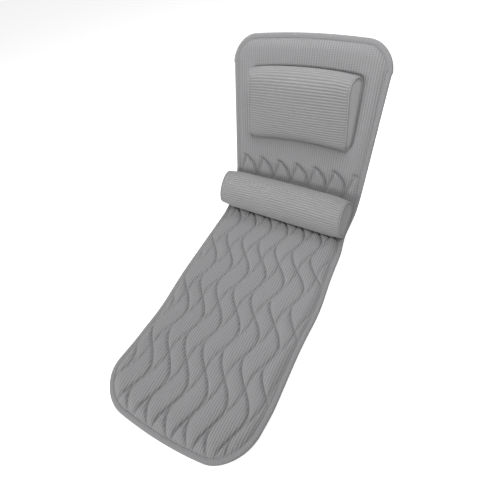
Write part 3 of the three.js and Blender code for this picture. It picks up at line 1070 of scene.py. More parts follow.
@dataclass(frozen=True)
class Quilting:
    """Wave quilting: two sets of seams that touch, part, cross and touch again.

    The seams of a set are drawn hardest where they slope to the left on the way up, and near the foot.
    At the top row, pairs of seams meet in an arch.
    """

    length: float = 0.1686
    sway: float = 0.0113
    top: float = 0.1290
    arch: float = 0.024
    seat: QuiltRun = QuiltRun(start=0.2082, middle=-0.0041, lean=-0.038, spacing=0.0538)
    back: QuiltRun = QuiltRun(start=0.2240, middle=0.0104, lean=-0.040, spacing=0.0570)
    change: float = 0.060
    pairs: int = 6
    columns: int = 32
    row_gap: float = 0.0046
    least_gap: float = 2e-4
    samples: int = 8000
    end_rows: int = 7
    end_step: float = 0.0004
    puff: float = 0.0075
    crease: float = 0.0016
    seam_width: float = 0.0015
    slack_draw: float = 0.5
    slack_slope: float = 0.15
    slope_range: float = 0.5
    slope_step: float = 0.0005
    foot: float = -0.570
    foot_range: float = 0.08

    def lie(self, s: Array) -> tuple[Array, Array, Array]:
        """Lie of the seams at places along the mat.

        Args:
            s: places along the mat; above the top row the seams run on straight.

        Returns:
            Turn of the waves, place of the middle pair of seams, and spacing of the pairs.
        """
        s = np.minimum(np.asarray(s, float), self.top)
        share = smooth_step((s + self.change) / (2 * self.change))

        def between(seat: float, back: float) -> Array:
            """Value on the way from the seat to the back."""
            return seat + (back - seat) * share

        turn = math.pi * (between(self.seat.start, self.back.start) - s) / self.length
        up = np.clip((s - self.top) / self.arch + 1, 0, 1)
        turn = np.where(up > 0, np.arccos(np.cos(turn) * np.sqrt(1 - up**2)), turn)
        lean = between(self.seat.lean, self.back.lean) * s
        middle = between(self.seat.middle, self.back.middle) + lean - self.sway * np.sin(2 * turn)
        return turn, middle, between(self.seat.spacing, self.back.spacing)

    def stations(self, low: float, high: float, fine_places: Array) -> Array:
        """Places along the mat whose rows of points meet the seams.

        Args:
            low: lowest place.
            high: highest place.
            fine_places: further places that need a row of their own.

        Returns:
            The places in rising order.
        """
        fine = np.linspace(self.top, low, self.samples)
        turn = self.lie(fine)[0]
        steps = np.arccos(np.linspace(1, -1, self.columns + 1))[:-1]
        waves = np.arange(math.floor(turn[0] / math.pi), math.ceil(turn[-1] / math.pi))
        met = (waves[:, None] * math.pi + steps[None, :]).ravel()
        met = np.interp(met[(met > turn[0]) & (met < turn[-1])], turn, fine)
        ends = self.end_step * np.arange(self.end_rows) ** 2
        rows = np.unique(np.concatenate([met, [self.top], fine_places, low + ends, high - ends]))
        rows = rows[np.concatenate([[True], np.diff(rows) > self.least_gap])]
        rows[-1] = high
        filled = []
        for here, after in zip(rows, rows[1:]):
            count = math.ceil((after - here) / self.row_gap)
            filled.append(np.linspace(here, after, count, endpoint=False))
        return np.concatenate([*filled, rows[-1:]])

    def seam(self, s: Array, sign: int) -> Array:
        """Places across the mat of one seam of a set."""
        turn, middle, spacing = self.lie(s)
        return middle + sign * 0.5 * spacing * np.cos(turn)

    def off_seam(self, x: Array, s: Array, sign: int) -> Array:
        """Signed distances across the mat from the nearest seam of a set.

        Args:
            x: distances across.
            s: distances along.
            sign: which set, 1 or -1.

        Returns:
            The distances.
        """
        spacing = self.lie(s)[2]
        place = (x - self.seam(s, sign)) / spacing
        return (place - np.round(place)) * spacing

    def seams(self, x: Array, s: Array) -> list[tuple[Array, Array]]:
        """Distances of points from the nearest seam of each set, and how hard that seam is drawn.

        Args:
            x: distances across.
            s: distances along.

        Returns:
            For each set, the distances and a share that is 1 where the thread pulls hardest.
        """
        near = self.slope_step
        at_foot = smooth_step((self.foot - s) / self.foot_range)
        found = []
        for sign in (1, -1):
            slope = (self.seam(s + near, sign) - self.seam(s - near, sign)) / (2 * near)
            pull = np.maximum(smooth_step((self.slack_slope - slope) / self.slope_range), at_foot)
            gap = np.abs(self.off_seam(x, s, sign)) / np.sqrt(1 + slope**2)
            gap = np.hypot(gap, np.maximum(s - self.top, 0))
            found.append((gap, self.slack_draw + (1 - self.slack_draw) * pull))
        return found

    def drawn_to(self, x: Array, rows: Array) -> Array:
        """Moves the points of each row that lie next to a seam onto it.

        Args:
            x: distances across, one row of points for each place along the mat.
            rows: the places along the mat.

        Returns:
            The moved distances.
        """
        along = rows[:, None]
        near = 0.5 * self.lie(along)[2] / self.columns
        free = np.repeat(along <= self.top, x.shape[1], 1)
        for sign in (1, -1):
            gap = self.off_seam(x, along, sign)
            next_to = (np.abs(gap) < near) & free
            x = np.where(next_to, x - gap, x)
            free &= ~next_to
        return x

    def lines(self, low: float, step: float) -> list[Array]:
        """Seams as lines from the top row down.

        Args:
            low: lowest place.
            step: distance between the points of a line, along the mat.

        Returns:
            Rows of x and s for each seam.
        """
        s = np.arange(self.top, low, -step)
        spacing = self.lie(s)[2]
        made = []
        for sign in (1, -1):
            for k in range(-self.pairs, self.pairs + 1):
                made.append(np.stack([self.seam(s, sign) + spacing * k, s], -1))
        return made


@dataclass(frozen=True)
class Drift:
    """How the soft sides of the mat lie askew: distances across and along the flat mat."""

    still: float = 0.05
    ramp: float = 0.14
    bulge: float = 0.007
    bulge_place: float = -0.375
    bulge_lean: float = 0.375
    bulge_reach: float = 0.080
    foot: float = 0.008
    foot_place: float = -0.545
    foot_reach: float = 0.11
    waist: float = 0.008
    waist_place: float = -0.045
    waist_reach: float = 0.045

    def moved(self, x: Array, s: Array) -> Array:
        """Moves points across the mat.

        Args:
            x: distances across.
            s: distances along.

        Returns:
            The new distances across.
        """
        aside = smooth_step((np.abs(x) - self.still) / self.ramp)
        off = (s - self.bulge_place - self.bulge_lean * x) / self.bulge_reach
        drift = self.bulge * np.exp(-(off**2))
        drift = drift - self.foot * smooth_step((self.foot_place - s) / self.foot_reach)
        off = (s - self.waist_place) / self.waist_reach
        drift = drift - self.waist * np.exp(-(off**2)) * (x > 0)
        return x + drift * aside


@dataclass
class Mat:
    """The quilted mat: front, underside, binding and its stitching.

    Heights count from the middle layer, and widths and insets from the edge.
    """

    fold: Fold
    outline: Outline
    quilting: Quilting
    finishes: Finishes
    stitches: StitchLayer
    drift: Drift = Drift()
    crown: float = 0.0100
    pressed: float = 0.0092
    pressed_reach: float = 0.05
    shoulder: float = 0.0062
    channel: float = -0.0004
    back_channel: float = -0.0027
    back_wide: float = 0.9
    back_from: float = 0.06
    ramp: float = 0.03
    # Share of the painted seam shade that the slack seams keep.
    slack_mark: float = 0.4
    plain: float = 0.0066
    plain_from: float = -0.001
    plain_ramp: float = 0.016
    edge: float = -0.0016
    rise: float = 0.024
    rise_power: float = 0.8
    tuck: float = 0.0008
    floor: float = -0.0060
    hollow: float = -0.0030
    hollow_reach: float = 0.034
    hollow_from: float = 0.15
    hidden_edge: float = 0.004
    under_shares: tuple[float, ...] = (-1, -0.94, -0.88, -0.8, 0, 0.8, 0.88, 0.94, 1)
    sewn_depth: float = 0.0034
    sewn_width: float = 0.0030
    sewn_reach: float = 0.019
    sewn_margin: float = 0.0046
    sewn_step: float = 0.0018
    binding_width: float = 0.0125
    binding_top: float = -0.0004
    binding_bottom: float = -0.0113
    binding_round: float = 0.0040
    binding_puff: float = 0.0005
    binding_over: tuple[float, ...] = (0.97, 0.85, 0.7, 0.55)
    binding_under: tuple[float, ...] = (0.6, 0.97)
    binding_turn: int = 6
    binding_nose: float = 0.0008
    binding_wall: float = 0.0015
    binding_step: float = 0.0045
    # Reach of the painted shade along the binding's inner edge.
    rim_width: float = 0.0024
    rim_ramp: float = 0.006
    lip: float = 0.0020
    underside_top: float = -0.0065
    underside_bottom: float = -0.0090
    underside_in: float = 0.0022
    underside_step: float = 0.012
    underside_end: float = 0.04
    underside_end_step: float = 0.0006
    underside_end_rows: int = 9
    underside_columns: int = 25
    quilt_stitch: Stitch = Stitch(0.0042, 0.0034, 0.0010)
    quilt_end: float = 0.004
    quilt_step: float = 0.003
    quilt_lift: float = 0.0002
    quilt_least: int = 8
    edge_stitch: Stitch = Stitch(0.0044, 0.0034, 0.0009)
    edge_in: float = 0.0024
    edge_lift: float = 0.0003
    sewn: Sequence[Array] = ()

    def lay(self, x: Array, s: Array, n: Array) -> Array:
        """Places points of the flat mat in the frame, with its soft sides lying a little askew.

        Args:
            x: distances across.
            s: distances along.
            n: heights off the middle layer.

        Returns:
            Rows of x, y and z.
        """
        x, s = np.asarray(x, float).ravel(), np.asarray(s, float).ravel()
        return self.fold.place(self.drift.moved(x, s), s, np.asarray(n, float).ravel())

    def drawn_in(self, x: Array, s: Array) -> Array:
        """Depths by which the sewn-on cushions draw the front in along their edges.

        Args:
            x: distances across.
            s: distances along.

        Returns:
            The depths.
        """
        found = np.zeros(len(x))
        for loop in self.sewn:
            found = np.maximum(found, np.exp(-nearest(x, s, loop) / self.sewn_width**2))
        return self.sewn_depth * found

    def level(self, x: Array, s: Array) -> tuple[Array, Array]:
        """Height of the front and nearness to a seam.

        Args:
            x: distances across.
            s: distances along.

        Returns:
            Heights off the middle layer, and a share of painted shade that is 1 on a seam or at the
            binding.
        """
        quilt = self.quilting
        full, clear, seam = np.ones(len(x)), np.ones(len(x)), np.zeros(len(x))
        back = smooth_step((s - self.back_from) / self.ramp)
        wide = 1 + self.back_wide * back
        for gap, hard in quilt.seams(x, s):
            full *= 1 - np.exp(-gap / quilt.puff)
            clear *= 1 - hard * np.exp(-gap / (quilt.crease * wide))
            # Painted shade in each seam's crease, darker along the hard-drawn seams that lie across the
            # light.
            mark = self.slack_mark + (1 - self.slack_mark) * hard
            seam = np.maximum(seam, mark * np.exp(-gap / (quilt.seam_width * wide)))
        free = smooth_step((np.abs(s) - self.pressed_reach) / self.ramp)
        crown = self.pressed + (self.crown - self.pressed) * free
        channel = self.channel + (self.back_channel - self.channel) * back
        quilted = channel + (self.shoulder - channel) * clear + (crown - self.shoulder) * full
        fade = smooth_step((s - quilt.top - self.plain_from) / self.plain_ramp)
        height = quilted + (self.plain - quilted) * fade - self.drawn_in(x, s)
        deep = self.outline.depth(x, s) - self.binding_width
        inward = np.clip((deep + self.tuck) / self.rise, 0, 1)
        swell = np.sin(math.pi / 2 * inward) ** self.rise_power
        seam *= (1 - fade) * smooth_step(deep / self.rim_ramp)
        # Painted shade in the groove along the binding's inner edge.
        seam = np.maximum(seam, np.exp(-np.abs(deep) / self.rim_width))
        return self.edge + (height - self.edge) * swell, seam

    def front_grid(self) -> tuple[Array, Array, Array]:
        """Points of the front on the flat mat, with a point wherever a row meets a seam.

        Returns:
            Distances across and along, as rows of points, and the half width at each row.
        """
        quilt = self.quilting
        low, high = self.outline.reach(self.hidden_edge)
        near = np.arange(-self.sewn_margin, self.sewn_reach + self.sewn_margin, self.sewn_step)
        fine = [at for loop in self.sewn for at in (loop[:, 1].min() + near, loop[:, 1].max() - near)]
        rows = quilt.stations(low + END_GAP, high - END_GAP, np.concatenate([np.zeros(0), *fine]))
        wide = self.outline.half_width(rows, self.hidden_edge)
        _, middle, spacing = quilt.lie(rows)
        reach = (wide.max() + np.abs(middle).max()) / spacing.min() * quilt.columns
        count = int(math.ceil(reach))
        grid = np.arange(-count, count + 1) / quilt.columns
        x = quilt.drawn_to(middle[:, None] + spacing[:, None] * grid[None, :], rows)
        x = np.clip(x, -wide[:, None], wide[:, None])
        return x, np.repeat(rows[:, None], x.shape[1], 1), wide

    def front(self) -> bpy.types.Object:
        """Quilted front, closed underneath round the space for the padding.

        Returns:
            The piece.
        """
        x, s, wide = self.front_grid()
        height, seam = self.level(x.ravel(), s.ravel())
        number = np.arange(x.size).reshape(x.shape)
        quads, at, tall = cells(number), cells(x), cells(height.reshape(x.shape))
        valley = tall[:, 0] + tall[:, 2] <= tall[:, 1] + tall[:, 3]
        quads = np.where(valley[:, None], quads, np.roll(quads, -1, 1))
        spans = (at[:, 1] - at[:, 0] > SPECK) | (at[:, 2] - at[:, 3] > SPECK)
        under_x = wide[:, None] * np.array(self.under_shares)[None, :]
        under_s = np.repeat(s[:, :1], len(self.under_shares), 1)
        deep = self.outline.depth(under_x.ravel(), under_s.ravel())
        share = np.clip(deep / self.hollow_reach - self.hollow_from, 0, 1)
        under_n = self.floor + (self.hollow - self.floor) * share
        under = x.size + np.arange(under_x.size).reshape(under_x.shape)
        faces = [*quads[spans].tolist(), *cells(under.T).tolist(), *rim_faces(number, under)]
        points = np.vstack([self.lay(x, s, height), self.lay(under_x, under_s, under_n)])
        flat = np.vstack([np.stack([a.ravel(), b.ravel()], -1) for a, b in ((x, s), (under_x, under_s))])
        piece = drawn("mat_front", points, faces, flat, self.finishes.front.material())
        # Marks the front for its painted seam shade.
        marked(piece.data, np.concatenate([seam, np.zeros(under_x.size)]))
        self.weld(piece)
        return piece

    @staticmethod
    def weld(piece: bpy.types.Object) -> None:
        """Merges the points that fall together along the edge.

        Args:
            piece: the piece to change.
        """
        work = bmesh.new()
        work.from_mesh(piece.data)
        bmesh.ops.remove_doubles(work, verts=work.verts, dist=WELD_GAP)
        bmesh.ops.dissolve_degenerate(work, edges=work.edges, dist=SPECK)
        work.to_mesh(piece.data)
        work.free()

    def underside(self) -> bpy.types.Object:
        """Net that closes the mat underneath.

        Returns:
            The piece.
        """
        low, high = self.outline.reach(self.underside_in)
        ends = END_GAP + self.underside_end_step * np.arange(self.underside_end_rows) ** 2
        inner = np.arange(low + self.underside_end, high - self.underside_end, self.underside_step)
        rows = np.unique(np.concatenate([inner, low + ends, high - ends]))
        wide = self.outline.half_width(rows, self.underside_in)
        x = wide[:, None] * np.linspace(-1, 1, self.underside_columns)[None, :]
        s = np.repeat(rows[:, None], self.underside_columns, 1)
        levels = (self.underside_top, self.underside_bottom)
        points = np.vstack([self.lay(x, s, np.full(x.size, n)) for n in levels])
        top = np.arange(x.size).reshape(x.shape)
        base = top + x.size
        faces = [*cells(top).tolist(), *cells(base.T).tolist(), *rim_faces(top, base)]
        flat = np.stack([x.ravel(), s.ravel()], -1)
        material = self.finishes.underside.material()
        return drawn("mat_underside", points, faces, np.vstack([flat, flat]), material)

    def binding_section(self) -> Array:
        """Section of the binding as rows of distance from the edge and height.

        Returns:
            A closed loop of points.
        """
        r, wide, nose = self.binding_round, self.binding_width, self.binding_nose
        top, base = self.binding_top, self.binding_bottom
        turn = np.linspace(0, math.pi / 2, self.binding_turn)
        puff = self.binding_puff
        over = [[wide * f, top + puff * math.sin(math.pi * f)] for f in self.binding_over]
        outer = [[r * (1 - math.sin(a)), top - r * (1 - math.cos(a))] for a in turn]
        lower = [[r * (1 - math.cos(a)), base + r * (1 - math.sin(a))] for a in turn]
        under = [[wide * f, base] for f in self.binding_under]
        tip = [[wide, base + nose], [wide, base + self.lip]]
        slot = [[self.binding_wall, base + self.lip], [self.binding_wall, top - self.lip]]
        end = [[wide, top - self.lip], [wide, top - nose]]
        return np.array([*over, *outer, *lower, *under, *tip, *slot, *end])

    def binding(self) -> bpy.types.Object:
        """Folded strip round the whole edge.

        Returns:
            The piece.
        """
        loop = self.outline.loop(self.binding_step)
        inward = self.outline.inward(loop)
        section = self.binding_section()
        x = loop[:, None, 0] + inward[:, None, 0] * section[None, :, 0]
        s = loop[:, None, 1] + inward[:, None, 1] * section[None, :, 0]
        points = self.lay(x, s, np.repeat(section[None, :, 1], len(loop), 0))
        number = around(np.arange(x.size).reshape(x.shape))
        whole = np.vstack([section, section[:1]])
        girth = np.concatenate([[0], np.cumsum(np.linalg.norm(np.diff(whole, axis=0), axis=1))])
        run = self.binding_step * np.arange(len(loop) + 1)
        faces = cells(around(number.T)).tolist()
        corners = cells(np.stack(np.meshgrid(run, girth), -1))
        turned = outward(points, faces)
        if turned is not faces:
            corners = corners[:, ::-1]
        material = self.finishes.binding.material()
        return drawn("mat_binding", points, turned, corners.reshape(-1, 2), material)

    def quilt_stitches(self) -> bpy.types.Object:
        """Thread along the seams of the quilting.

        Returns:
            The piece.
        """
        inset = self.binding_width + self.quilt_end
        low, _ = self.outline.reach(inset)
        paths = []
        for line in self.quilting.lines(low, self.quilt_step):
            inside = np.abs(line[:, 0]) < self.outline.half_width(line[:, 1], inset)
            inside &= line[:, 1] > low + self.quilt_end / 2
            cuts = np.flatnonzero(np.diff(inside.astype(int))) + 1
            for part in np.split(np.arange(len(line)), cuts):
                if len(part) < self.quilt_least or not inside[part[0]]:
                    continue
                x, s = line[part, 0], line[part, 1]
                height, _ = self.level(x, s)
                paths.append((self.lay(x, s, height + self.quilt_lift), self.fold.normal(s), False))
        thread = self.finishes.quilt_thread
        return self.stitches.sew("quilt_stitches", paths, self.quilt_stitch, thread)

    def edge_stitches(self) -> bpy.types.Object:
        """Thread along the inner edge of the binding.

        Returns:
            The piece.
        """
        loop = self.outline.inset(self.binding_width - self.edge_in)
        height = np.full(len(loop), self.binding_top + self.edge_lift)
        paths = [(self.lay(loop[:, 0], loop[:, 1], height), self.fold.normal(loop[:, 1]), True)]
        return self.stitches.sew("edge_stitches", paths, self.edge_stitch, self.finishes.edge_thread)

    def build(self) -> None:
        """Builds the mat's pieces and bakes their placement into their points."""
        front = self.front()
        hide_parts("seat_front_cover", "back_front_cover", "seat_padding", "back_padding")
        underside = self.underside()
        cut = self.outline.inset(self.underside_in)
        after = np.roll(cut, -1, 0)
        area = 0.5 * abs(float(np.sum(cut[:, 0] * after[:, 1] - after[:, 0] * cut[:, 1])))
        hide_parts("seat_underside", "back_underside")
        binding = self.binding()
        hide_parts("seat_binding", "back_binding")
        pieces = [front, underside, binding, self.quilt_stitches(), self.edge_stitches()]
        for piece in pieces:
            self.fold.join(piece)
            LOG.info("%s: %d points", piece.name, len(piece.data.vertices))


@dataclass
class Cushion(ABC):
    """A stuffed cushion on the mat: a ribbed sleeve with a sewn panel and piping at each end."""

    fold: Fold
    finishes: Finishes
    cords: CordLayer
    stitches: StitchLayer
    name: str
    cover: AirMesh
    ends: Knit
    start_share: float
    pressure: float
    cap: float
    rib_height: float
    shift: float = 0.0
    girth_step: float = 0.0042
    ring_step: float = 0.0085
    seam_rings: tuple[float, ...] = (0, 0.002, 0.005, 0.010)
    draw_in: float = 0.07
    draw_length: float = 0.045
    cap_rings: int = 6
    cap_hole: float = 0.04
    cap_dome: float = 0.001
    quick_share: float = 0.6
    stiffness: float = 18.0
    bending: float = 1.2
    quality: int = 6
    frames: int = 20
    smoothing: int = 2
    rest_reach: float = 0.0006
    panel_thickness: float = 0.0016
    panel_gap: float = 0.0026
    # Reaches of the painted shade along the end seams, on the sleeve and on the panels.
    seam_reach: float = 0.0042
    panel_reach: float = 0.0085
    piping_radius: float = 0.0019
    piping_step: float = 0.004
    stitch: Stitch = Stitch(0.0046, 0.0034, 0.0010)
    stitch_lift: float = 0.0007
    stitch_in: float = 0.0042

    @abstractmethod
    def section(self) -> Array:
        """Section across the cushion as a closed loop of rows."""

    @abstractmethod
    def middle(self) -> Array:
        """Middle of the section, toward which the end panels close."""

    @abstractmethod
    def pivot(self) -> Array:
        """Place in the section toward which the ends draw in."""

    @abstractmethod
    def reach(self, b: Array) -> Array:
        """Distance of the end seams from the middle, at heights of the section."""

    @abstractmethod
    def seat(self, x: Array, a: Array, b: Array) -> Array:
        """Places points of the cushion in the frame."""

    @abstractmethod
    def rests(self, a: Array, b: Array) -> Array:
        """Which points of the section lie against the mat."""

    @abstractmethod
    def footprint(self) -> Array:
        """Edge of the cushion on the flat mat, as a closed loop of x and s."""

    def half_length(self) -> float:
        """Distance of the end seams from the middle, at the height of the pivot."""
        return float(self.reach(np.array([self.pivot()[1]]))[0])

    def rings(self) -> Array:
        """Places of the sleeve's rings.

        Returns:
            Shares of the reach in rising order, closer together at the seams.
        """
        length = self.half_length()
        near = np.array(self.seam_rings)
        count = int(round((length - near[-1]) / self.ring_step))
        away = np.concatenate([near, np.linspace(near[-1], length, count + 1)[1:]])
        share = 1 - away / length
        return np.concatenate([-share, share[::-1][1:]])

    def blank(self) -> tuple[Array, list[list[int]], Array, Array, Array]:
        """Closed cushion before it is stuffed.

        Returns:
            Points, faces, flat coordinates of face corners, the panel of each face, and held points.
        """
        loop = resampled(self.section(), self.girth_step, True)
        count = len(loop)
        shares, length = self.rings(), self.half_length()
        pivot, middle = self.pivot(), self.middle()
        start = middle + (loop - middle) * self.start_share
        lie = self.rests(loop[:, 0], loop[:, 1])
        start[lie] = loop[lie]
        points: list[Array] = []
        held: list[Array] = []
        for share in shares:
            away = (1 - abs(share)) * length
            size = 1 - self.draw_in * (1 - smooth_step(np.array(away / self.draw_length)))
            here = pivot + (start - pivot) * size
            x = self.shift + share * self.reach(here[:, 1])
            points.append(self.seat(x, here[:, 0], here[:, 1]))
            held.append(lie | (abs(share) > 1 - END_GAP))
        number = np.arange(len(shares) * count).reshape(-1, count)
        faces = cells(around(number)).tolist()
        cloth = np.meshgrid(np.arange(count + 1) * self.girth_step, shares * length)
        flat = [cells(np.stack(cloth, -1)).reshape(-1, 2)]
        panel = [0] * len(faces)
        edge = pivot + (start - pivot) * (1 - self.draw_in)
        for side, ring in ((Side.LEFT, number[0]), (Side.RIGHT, number[-1])):
            rows, spots = [ring], [edge]
            for step in range(1, self.cap_rings + 1):
                share = 1 - step / self.cap_rings
                here = middle + (edge - middle) * max(share, self.cap_hole)
                x = self.reach(here[:, 1]) + self.cap_dome * (1 - share**2)
                rows.append(np.arange(count) + count * len(points))
                spots.append(here)
                points.append(self.seat(self.shift + side.value * x, here[:, 0], here[:, 1]))
                held.append(np.zeros(count, bool))
            quads = cells(around(np.array(rows)))[:, :: side.value]
            corners = cells(around(np.array(spots)))[:, :: side.value]
            faces += [*quads.tolist(), rows[-1][:: side.value].tolist()]
            flat += [corners.reshape(-1, 2), spots[-1][:: side.value]]
            panel += [side.value] * (len(quads) + 1)
        return np.vstack(points), faces, np.vstack(flat), np.array(panel), np.concatenate(held)

    def stuffed(self) -> bpy.types.Object:
        """Swells the blank by cloth simulation and smooths it.

        Returns:
            A closed mesh whose face material numbers tell the sleeve from the panels.
        """
        points, faces, flat, panel, held = self.blank()
        turned = outward(points, faces)
        if turned is not faces:
            ends = np.cumsum([len(f) for f in faces])
            flat = np.vstack([part[::-1] for part in np.split(flat, ends[:-1])])
        piece = drawn(self.name + "_blank", points, turned, flat)
        for _ in range(3):
            piece.data.materials.append(None)
        number = np.where(panel == 0, 0, np.where(panel < 0, 1, 2))
        piece.data.polygons.foreach_set("material_index", number)
        swollen = self.swell(piece, points, held)
        piece.data.vertices.foreach_set("co", swollen.astype(np.float32).ravel())
        piece.data.update()
        modifier = piece.modifiers.new("smooth", "SUBSURF")
        modifier.levels = modifier.render_levels = self.smoothing
        modifier.uv_smooth = "PRESERVE_BOUNDARIES"
        return settled(piece, self.name + "_whole")

    def swell(self, piece: bpy.types.Object, points: Array, held: Array) -> Array:
        """Runs the cloth under pressure with the seams and the resting face held.

        Args:
            piece: the blank's object.
            points: places of its points.
            held: which points stay in place.

        Returns:
            Places of the points after stuffing, none moved further than the cap.
        """
        group = piece.vertex_groups.new(name="held")
        group.add([int(i) for i in np.flatnonzero(held)], 1.0, "REPLACE")
        modifier = piece.modifiers.new("swell", "CLOTH")
        cloth = modifier.settings
        cloth.quality = self.quality
        cloth.use_pressure = True
        cloth.uniform_pressure_force = self.pressure
        cloth.vertex_group_mass = group.name
        cloth.tension_stiffness = cloth.compression_stiffness = self.stiffness
        cloth.bending_stiffness = self.bending
        cloth.effector_weights.gravity = 0
        modifier.collision_settings.use_collision = False
        modifier.point_cache.frame_start, modifier.point_cache.frame_end = 1, self.frames
        scene = bpy.context.scene
        for frame in range(1, self.frames + 1):
            scene.frame_set(frame)
        graph = bpy.context.evaluated_depsgraph_get()
        swollen = places(piece.evaluated_get(graph).data)
        piece.modifiers.remove(modifier)
        scene.frame_set(1)
        moved = swollen - points
        far = np.linalg.norm(moved, axis=1)
        LOG.info("%s swells up to %.1f mm", self.name, far.max() * 1000)
        share = np.minimum(1, self.cap / np.maximum(far, TINY))
        return points + moved * share[:, None]

    def sleeve(self, whole: bpy.types.Object) -> bpy.types.Object:
        """Ribbed cover of the cushion, closed behind the end panels.

        Args:
            whole: the stuffed cushion.

        Returns:
            The piece.
        """
        mesh = whole.data.copy()
        sizes = column(mesh.polygons, "loop_total", kind=np.int32)
        index = column(mesh.polygons, "material_index", kind=np.int32)
        corner = column(mesh.loops, "vertex_index", kind=np.int32)
        on_sleeve = np.repeat(index, sizes) == 0
        cloth = np.zeros((len(mesh.vertices), 2))
        cloth[corner[on_sleeve]] = column(mesh.uv_layers[0].data, "uv", 2)[on_sleeve]
        across, along = cloth.T
        ribbed, paneled = np.zeros((2, len(cloth)), bool)
        ribbed[corner[on_sleeve]] = True
        paneled[corner[~on_sleeve]] = True
        point = places(mesh)
        lift = self.rib_height * np.cos(2 * math.pi * across / self.cover.rib_pitch)
        point += column(mesh.vertices, "normal", 3) * (lift * (ribbed & ~paneled))[:, None]
        inner = paneled & ~ribbed
        point[inner, 0] -= np.sign(point[inner, 0] - self.shift) * self.panel_gap
        mesh.vertices.foreach_set("co", point.astype(np.float32).ravel())
        # Painted shade on the sleeve along its end seams.
        away = np.abs(along).max() - np.abs(along)
        clothed(mesh, self.cover.material(), np.exp(-away / self.seam_reach))
        return linked(self.name, mesh)

    def panel(self, whole: bpy.types.Object, side: Side) -> tuple[bpy.types.Object, Array]:
        """Knit panel that closes one end.

        Args:
            whole: the stuffed cushion.
            side: which end.

        Returns:
            The piece, and its seam as points in order.
        """
        work = bmesh.new()
        work.from_mesh(whole.data)
        wanted = 1 if side is Side.LEFT else 2
        others = [f for f in work.faces if f.material_index != wanted]
        bmesh.ops.delete(work, geom=others, context="FACES")
        edge = next(e for e in work.edges if e.is_boundary)
        seam = [edge.verts[0], edge.verts[1]]
        while True:
            following = next(
                e.other_vert(seam[-1]) for e in seam[-1].link_edges
                if e.is_boundary and e.other_vert(seam[-1]) is not seam[-2]
            )
            if following is seam[0]:
                break
            seam.append(following)
        path = np.array([v.co for v in seam])
        inside = np.array([v.co for v in work.verts])
        away = np.linalg.norm(inside[:, None, :] - path[None, :, :], axis=2).min(1)
        name = f"{self.name}_panel_{side.name.lower()}"
        mesh = bpy.data.meshes.new(name)
        work.to_mesh(mesh)
        work.free()
        # Painted shade on the panel along its seam, where it meets the sleeve and the mat.
        clothed(mesh, self.ends.material(), np.exp(-away / self.panel_reach))
        source = linked(name + "_skin", mesh)
        modifier = source.modifiers.new("thickness", "SOLIDIFY")
        modifier.thickness = self.panel_thickness
        modifier.offset = -1
        return settled(source, name), path

    def piping(self, side: Side, path: Array) -> bpy.types.Object:
        """Covered cord along an end seam.

        Args:
            side: which end.
            path: the seam's points in order.

        Returns:
            The piece.
        """
        even = resampled(path, self.piping_step, True)
        up = np.tile(np.array([0.0, 0.0, 1.0]), (len(even), 1))
        name = f"{self.name}_cord_{side.name.lower()}"
        material = self.finishes.piping.material()
        return self.cords.lay(name, [(even, up, True)], {"Radius": self.piping_radius}, material)

    def seam_stitches(self, side: Side, path: Array) -> bpy.types.Object:
        """Thread on the sleeve beside an end seam.

        Args:
            side: which end.
            path: the seam's points in order.

        Returns:
            The piece.
        """
        even = resampled(path, self.piping_step, True)
        up = even - even.mean(0)
        up[:, 0] = 0
        up /= np.linalg.norm(up, axis=1)[:, None]
        beside = even + up * self.stitch_lift
        beside[:, 0] -= side.value * self.stitch_in
        name = f"{self.name}_stitches_{side.name.lower()}"
        return self.stitches.sew(name, [(beside, up, True)], self.stitch, self.finishes.edge_thread)

    def build(self, panel_node: str) -> None:
        """Builds the cushion's pieces and ties them to the back.

        Args:
            panel_node: first words of the names of the end panels in the frame.
        """
        whole = self.stuffed()
        sleeve = self.sleeve(whole)
        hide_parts(f"{self.name}_sleeve", f"{self.name}_core")
        pieces = [sleeve]
        for side in Side:
            panel, path = self.panel(whole, side)
            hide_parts(f"{panel_node}_{side.name.lower()}")
            piping = self.piping(side, path)
            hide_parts(f"{self.name}_piping_{side.name.lower()}")
            pieces += [panel, piping, self.seam_stitches(side, path)]
        bpy.data.objects.remove(whole)
        for piece in pieces:
            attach(piece, Body.BACK.value)
            LOG.info("%s: %d points", piece.name, len(piece.data.vertices))


